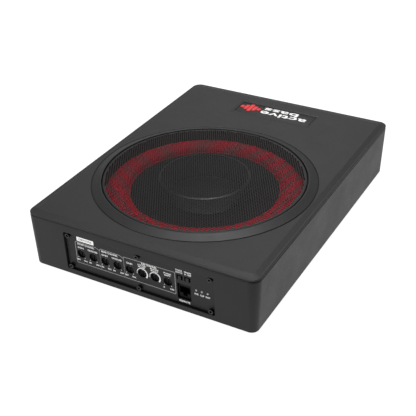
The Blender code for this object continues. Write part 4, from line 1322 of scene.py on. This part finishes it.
def knobs(mats):
    face = -PLATE_DEPTH - KNOB_RECESS
    steps = 96
    for i, u in enumerate(KNOB_US):
        bm = bmesh.new()

        def ring(radius, z, flute=0.0):
            points = []
            for k in range(steps):
                angle = 2 * math.pi * k / steps
                r = radius - flute * (0.5 + 0.5 * math.cos(24 * angle))
                points.append((r * math.cos(angle), r * math.sin(angle), z))
            return points

        loops = [
            ring(3.0 * MM, -STEM_DEPTH),
            ring(3.0 * MM, face - 4.0 * MM),
            ring(KNOB_RADIUS - 0.1 * MM, face - 4.0 * MM),
            ring(KNOB_RADIUS, face - 3.9 * MM, 0.22 * MM),
            ring(KNOB_RADIUS, face - 0.55 * MM, 0.22 * MM),
            ring(KNOB_RADIUS - 0.12 * MM, face - 0.3 * MM, 0.15 * MM),
            ring(KNOB_RADIUS - 0.3 * MM, face - 0.1 * MM, 0.05 * MM),
            ring(KNOB_RADIUS - 0.6 * MM, face),
            ring(2.95 * MM, face),
            ring(2.7 * MM, face - 0.12 * MM),
            ring(0.4 * MM, face - 0.3 * MM),
        ]
        loop_rows(bm, loops)
        knob = to_object(f"trim_knob_{i + 1}", bm, mats["knob"])
        bm = bmesh.new()
        box(bm, (1.1 * MM, 6.4 * MM, 1.6 * MM), (0, 0, face))
        shaped(knob, to_object("slot", bm, mats["knob"]))
        settle(knob, FRONT @ at(u, KNOB_V))
        piece(knob, f"control_knob_{i + 1}", [f"knob_{i + 1}"])
        bm = bmesh.new()
        box(bm, (0.5 * MM, 1.0 * MM, 0.05 * MM), (0, 3.45 * MM, face + 0.03 * MM), FRONT @ at(u, KNOB_V))
        piece(to_object(f"knob_index_{i + 1}", bm, mats["ink"]), f"control_knob_{i + 1}")


def switches(mats):
    face = -PLATE_DEPTH + 0.7 * MM
    for i, u in enumerate(SWITCH_US):
        bm = bmesh.new()
        side = LEVER_WIDTH
        profile = [(-side / 2, face - 10 * MM), (-side / 2, face - 0.25 * MM)]
        teeth = 3
        for k in range(teeth):
            left = -side / 2 + side * k / teeth
            pitch = side / teeth
            profile += [
                (left + 0.12 * pitch, face), (left + 0.55 * pitch, face),
                (left + 0.75 * pitch, face - 0.35 * MM),
            ]
            if k < teeth - 1:
                profile.append((left + 0.95 * pitch, face - 0.35 * MM))
        profile += [(side / 2, face - 0.35 * MM), (side / 2, face - 10 * MM)]
        loop_rows(bm, [[(x, y, w) for x, w in profile] for y in (-LEVER_HEIGHT / 2, LEVER_HEIGHT / 2)])
        obj = to_object(f"switch_lever_cap_{i + 1}", bm, mats["satin"], 20, at=FRONT @ at(u, SWITCH_V))
        piece(obj, f"switch_lever_{i + 1}", [f"slide_switch_{i + 1}"])
        bm = bmesh.new()
        behind = -PLATE_DEPTH - PLATE_THICKNESS - 4.5 * MM
        box(bm, (8.6 * MM, 7.2 * MM, 8.2 * MM), (u, SWITCH_V, behind), FRONT, 0.3 * MM)
        body = to_object(f"switch_housing_{i + 1}", bm, mats["knob"])
        bm = bmesh.new()
        box(bm, (6.7 * MM, 4.9 * MM, 20 * MM), (u, SWITCH_V, -2.5 * MM), FRONT)
        shaped(body, to_object("way", bm, mats["knob"]))
        soften(body, 32)
        piece(body)


def remote_jack(mats):
    face = -PLATE_DEPTH - JACK_RECESS
    depth = 10.0 * MM
    bm = bmesh.new()
    box(bm, (15.0 * MM, 18.6 * MM, depth), (0, 0, face - depth / 2), chamfer=0.35 * MM)
    jack = to_object("remote_socket", bm, mats["knob"])
    for size, v in (
        ((11.8 * MM, 8.2 * MM, 16 * MM), 1.0 * MM), ((5.0 * MM, 4.0 * MM, 15.8 * MM), -4.4 * MM)
    ):
        bm = bmesh.new()
        box(bm, size, (0, v, face))
        shaped(jack, to_object("mouth", bm, mats["knob"]))
    settle(jack, FRONT @ at(JACK_U, JACK_V))
    piece(jack, nodes=["remote_jack"])
    bm = bmesh.new()
    for i in range(6):
        u = JACK_U + (i - 2.5) * 1.27 * MM
        points = [(4.9, -1.6), (4.3, -2.6), (1.6, -5.4), (0.6, -7.4)]
        rows = []
        for v, w in points:
            base = Vector((u, JACK_V + v * MM, face + w * MM))
            offsets = ((-0.22, 0), (0.22, 0), (0.22, 0.3), (-0.22, 0.3))
            rows.append([FRONT @ (base + Vector((a * MM, 0, b * MM))) for a, b in offsets])
        loop_rows(bm, rows)
    piece(to_object("remote_contacts", bm, mats["gold"]))


def leds(mats):
    for i, u in enumerate(LED_US):
        bm = bmesh.new()
        dome = arc(0, -PLATE_DEPTH + 0.1 * MM, 1.2 * MM, 0.7 * MM, 0, 90, 7)
        profile = [(0, -STEM_DEPTH), (1.2 * MM, -STEM_DEPTH)] + dome[:-1] + [(0, -PLATE_DEPTH + 0.8 * MM)]
        spin(bm, profile, TINY)
        obj = to_object(f"led_lens_{i + 1}", bm, mats["lens"], 50, at=FRONT @ at(u, LED_V))
        piece(obj, nodes=[f"led_{i + 1}"])


# ---- connector end ----
def connector_panel(mats):
    board = plate("connector_panel", REAR_WIDTH, REAR_HEIGHT, REAR_DEPTH, mats["plate"])
    windows = (
        (POWER_U, POWER_V, *POWER_SIZE),
        (POWER_U, FUSE_V, *FUSE_SIZE),
        (SIGNAL_U, 0, *SIGNAL_SIZE),
        (RCA_U, 0, *RCA_SIZE),
    )
    bm = bmesh.new()
    for u, v, width, height in windows:
        box(bm, (width + 2 * GAP, height + 2 * GAP, 20 * MM), (u, v, -REAR_DEPTH))
    for u, v in REAR_SCREWS:
        cylinder(bm, SCREW_HOLE, -12 * MM, 0, TINY, at(u, v))
    shaped(board, to_object("windows", bm, mats["plate"]))
    settle(board, BACK)
    piece(board, nodes=["connector_plate"])
    bm = bmesh.new()
    face = -REAR_DEPTH
    for label, size, u, v in (
        ("POWER", 2.4, 46.0, -17.2),
        ("FUSE", 2.4, 28.4, 10.0),
        ("SPEAKER", 2.2, 2.0, 10.0),
        ("INPUT", 2.2, 2.0, -9.0),
        ("LINE INPUT", 2.4, -38.0, 17.0),
        ("L", 2.6, -63.6, 6.7),
        ("R", 2.6, -63.6, -6.7),
        ("BATT +", 1.9, 66.2, -3.8),
        ("REM", 1.9, 66.2, -7.4),
        ("GND", 1.9, 66.2, -11.0),
    ):
        words(bm, label, size * MM, (u * MM, v * MM, face), BACK, weight=0.05 * MM)
    piece(to_object("connector_legends", bm, mats["ink"], tidy=False))


def socket(mats, name, node, u, v, size, mouth, pins):
    face = -REAR_DEPTH + 4 * MM
    depth = size[2]
    bm = bmesh.new()
    box(bm, size, (0, 0, face - depth / 2), chamfer=0.6 * MM, segments=3)
    block = to_object(name, bm, mats["satin"])
    bm = bmesh.new()
    box(bm, (*mouth, 2 * (depth - 3 * MM)), (0, 0, face))
    shaped(block, to_object("mouth", bm, mats["satin"]))
    settle(block, BACK @ at(u, v))
    piece(block, nodes=[node])
    bm = bmesh.new()
    columns, rows, wide, high = pins
    for i in range(columns):
        for j in range(rows):
            x = (i - (columns - 1) / 2) * mouth[0] / columns
            y = (j - (rows - 1) / 2) * mouth[1] / rows
            box(
                bm, (wide, high, 7 * MM), (u + x, v + y, face - depth + 3.0 * MM + 3.6 * MM), BACK,
                0.15 * MM,
            )
    piece(to_object(f"{name}_pins", bm, mats["nickel"]))


def line_inputs(mats):
    face = -REAR_DEPTH + 0.6 * MM
    depth = 10 * MM
    bm = bmesh.new()
    box(bm, (*RCA_SIZE, depth), (0, 0, face - depth / 2), chamfer=0.5 * MM)
    block = to_object("line_input_block", bm, mats["satin"])
    bm = bmesh.new()
    for u, v in RCA_PLACES:
        cylinder(bm, 4.5 * MM, face - 7 * MM, 5 * MM, ROUND, at(u, v))
    shaped(block, to_object("wells", bm, mats["satin"]))
    settle(block, BACK @ at(RCA_U, 0))
    piece(block, nodes=["rca_input_block"])
    for i, (u, v) in enumerate(RCA_PLACES):
        place = BACK @ at(RCA_U + u, v)
        top = -0.4 * MM
        bm = bmesh.new()
        spin(
            bm,
            [
                (3.75 * MM, face - 6.8 * MM), (4.15 * MM, face - 6.8 * MM), (4.15 * MM, top - 0.3 * MM),
                (4.05 * MM, top), (3.85 * MM, top), (3.75 * MM, top - 0.2 * MM),
            ],
            ROUND, place,
        )
        piece(to_object(f"line_barrel_{i + 1}", bm, mats["nickel"], 40))
        bm = bmesh.new()
        spin(
            bm,
            [
                (1.7 * MM, face - 6.5 * MM), (3.7 * MM, face - 6.5 * MM), (3.7 * MM, top - 1.2 * MM),
                (3.4 * MM, top - 0.9 * MM), (2.2 * MM, top - 0.9 * MM), (1.7 * MM, top - 1.3 * MM),
            ],
            ROUND, place,
        )
        piece(
            to_object(f"line_insulator_{i + 1}", bm, mats["white_plastic" if i < 3 else "red_plastic"], 40)
        )
        bm = bmesh.new()
        spin(
            bm,
            [
                (0, face - 6.4 * MM), (1.6 * MM, face - 6.4 * MM), (1.6 * MM, face - 5.0 * MM),
                (0.8 * MM, face - 4.7 * MM), (0, face - 5.2 * MM),
            ],
            TINY, place,
        )
        piece(to_object(f"line_contact_{i + 1}", bm, mats["gold"], 40))


def fuse_box(mats):
    face = -REAR_DEPTH + 1.5 * MM
    depth = 12 * MM
    bm = bmesh.new()
    box(bm, (*FUSE_SIZE, depth), (POWER_U, FUSE_V, face - depth / 2), chamfer=0.4 * MM)
    holder = to_object("fuse_carrier", bm, mats["satin"])
    bm = bmesh.new()
    for u in FUSE_US:
        box(bm, (5.6 * MM, 11 * MM, 18 * MM), (u, FUSE_V, face))
    shaped(holder, to_object("slots", bm, mats["satin"]))
    settle(holder, BACK)
    piece(holder, nodes=["fuse_holder"])
    for i, u in enumerate(FUSE_US):
        bm = bmesh.new()
        box(bm, (5.0 * MM, 10.4 * MM, 12 * MM), (0, 0, -7.6 * MM), chamfer=0.5 * MM, segments=3)
        blade = to_object(f"blade_fuse_{i + 1}", bm, mats["fuse"])
        bm = bmesh.new()
        box(bm, (6.0 * MM, 1.2 * MM, 2.4 * MM), (0, 2.6 * MM, -1.6 * MM))
        box(bm, (6.0 * MM, 1.2 * MM, 2.4 * MM), (0, -2.6 * MM, -1.6 * MM))
        shaped(blade, to_object("grooves", bm, mats["fuse"]))
        settle(blade, BACK @ at(u, FUSE_V))
        piece(blade, nodes=[f"fuse_{i + 1}"])


# ---- the rest of the CAD nodes keep their shape and take a finish ----
def finish_nodes(mats):
    finishes = {
        "driver_gasket": ("rubber", 0.0),
        "basket": ("mesh", 0.3),
        "voice_coil_former": ("former", 0.0),
        "voice_coil": ("copper", 0.0),
        "motor_top_plate": ("steel", 0.4),
        "magnet": ("ferrite", 0.5),
        "pole_yoke": ("steel", 0.5),
        "control_board": ("board", 0.2),
        "amplifier_board": ("board", 0.2),
        "heat_sink": ("sink", 0.0),
        "power_toroid": ("copper", 0.0),
        "capacitor_1": ("sleeve", 0.0),
        "capacitor_2": ("sleeve", 0.0),
    }
    for name, (surface, edge) in finishes.items():
        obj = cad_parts[name]
        obj.data.materials.clear()
        obj.data.materials.append(mats[surface])
        if edge:
            modifier = obj.modifiers.new("edge", "BEVEL")
            modifier.width = edge * MM
            modifier.segments = 2
            modifier.limit_method = "ANGLE"
            modifier.angle_limit = math.radians(40)


# ---- studio ----
def studio():
    scene = bpy.context.scene
    scene.view_settings.view_transform = "Standard"
    world = bpy.data.worlds.new("studio")
    world.use_nodes = True
    world.node_tree.nodes["Background"].inputs["Color"].default_value = (1.0, 1.0, 1.0, 1.0)
    world.node_tree.nodes["Background"].inputs["Strength"].default_value = 0.4
    scene.world = world
    bm = bmesh.new()
    bmesh.ops.create_grid(bm, x_segments=2, y_segments=2, size=40.0)
    floor = to_object("studio_floor", bm)
    pale = Surface("pale_floor", roughness=0.9, specular=0.1)
    tone = pale.noise(0.6, 2.0)
    pale.colour(pale.ramp(tone, ((0.0, (0.11, 0.11, 0.11)), (1.0, (0.13, 0.13, 0.13)))))
    pale.shader.inputs["Emission Color"].default_value = (1.0, 1.0, 1.0, 1.0)
    pale.shader.inputs["Emission Strength"].default_value = 0.97
    floor.data.materials.append(pale.material)
    floor.location.z = -0.2 * MM
    for name, place, size, power in (
        ("key", (-0.6, 1.65, 1.6), 1.4, 5.0),
        ("top", (-0.7, 0.8, 2.0), 1.4, 3.0),
        ("fill", (0.0, 0.2, 2.4), 0.8, 38.0),
        ("front", (-0.9, -1.8, 0.9), 0.9, 16.0),
    ):
        light = bpy.data.lights.new(name, "AREA")
        light.shape = "DISK"
        light.size = size
        light.energy = power
        lamp = bpy.data.objects.new(name, light)
        lamp.location = place
        lamp.rotation_euler = (Vector((0, 0, 0.03)) - Vector(place)).to_track_quat("-Z", "Y").to_euler()
        scene.collection.objects.link(lamp)


def camera():
    azimuth, elevation, roll = math.radians(29.4246), math.radians(32.0994), math.radians(-1.2633)
    back = Vector(
        (
            math.sin(azimuth) * math.cos(elevation), -math.cos(azimuth) * math.cos(elevation),
            math.sin(elevation),
        )
    )
    right = Vector((math.cos(azimuth), math.sin(azimuth), 0))
    up = back.cross(right)
    turned_right = right * math.cos(roll) + up * math.sin(roll)
    turned_up = up * math.cos(roll) - right * math.sin(roll)
    lens = bpy.data.cameras.new("camera")
    lens.lens = 75.89
    lens.sensor_width = 36.0
    lens.clip_start = 0.05
    lens.clip_end = 60.0
    obj = bpy.data.objects.new("camera", lens)
    spot = Vector((-0.01874, 0, 0.002)) + back * 1.0415
    columns = (turned_right, turned_up, back)
    obj.matrix_world = Matrix(
        [[columns[j][i] for j in range(3)] + [spot[i]] for i in range(3)] + [[0, 0, 0, 1]]
    )
    bpy.context.scene.collection.objects.link(obj)
    bpy.context.scene.camera = obj


camera()
finishes = make_materials()
studio()
housing(finishes)
feet(finishes)
cover(finishes)
badge(finishes)
grille(finishes)
driver(finishes)
screws(finishes)
control_panel(finishes)
knobs(finishes)
switches(finishes)
remote_jack(finishes)
leds(finishes)
connector_panel(finishes)
socket(
    finishes, "power_connector", "power_socket", POWER_U, POWER_V, (*POWER_SIZE, 16 * MM),
    (30 * MM, 10 * MM), (4, 1, 1.2 * MM, 5.0 * MM),
)
socket(
    finishes, "speaker_connector", "speaker_level_socket", SIGNAL_U, 0, (*SIGNAL_SIZE, 14 * MM),
    (15 * MM, 8 * MM), (4, 2, 0.8 * MM, 0.8 * MM),
)
line_inputs(finishes)
fuse_box(finishes)
finish_nodes(finishes)
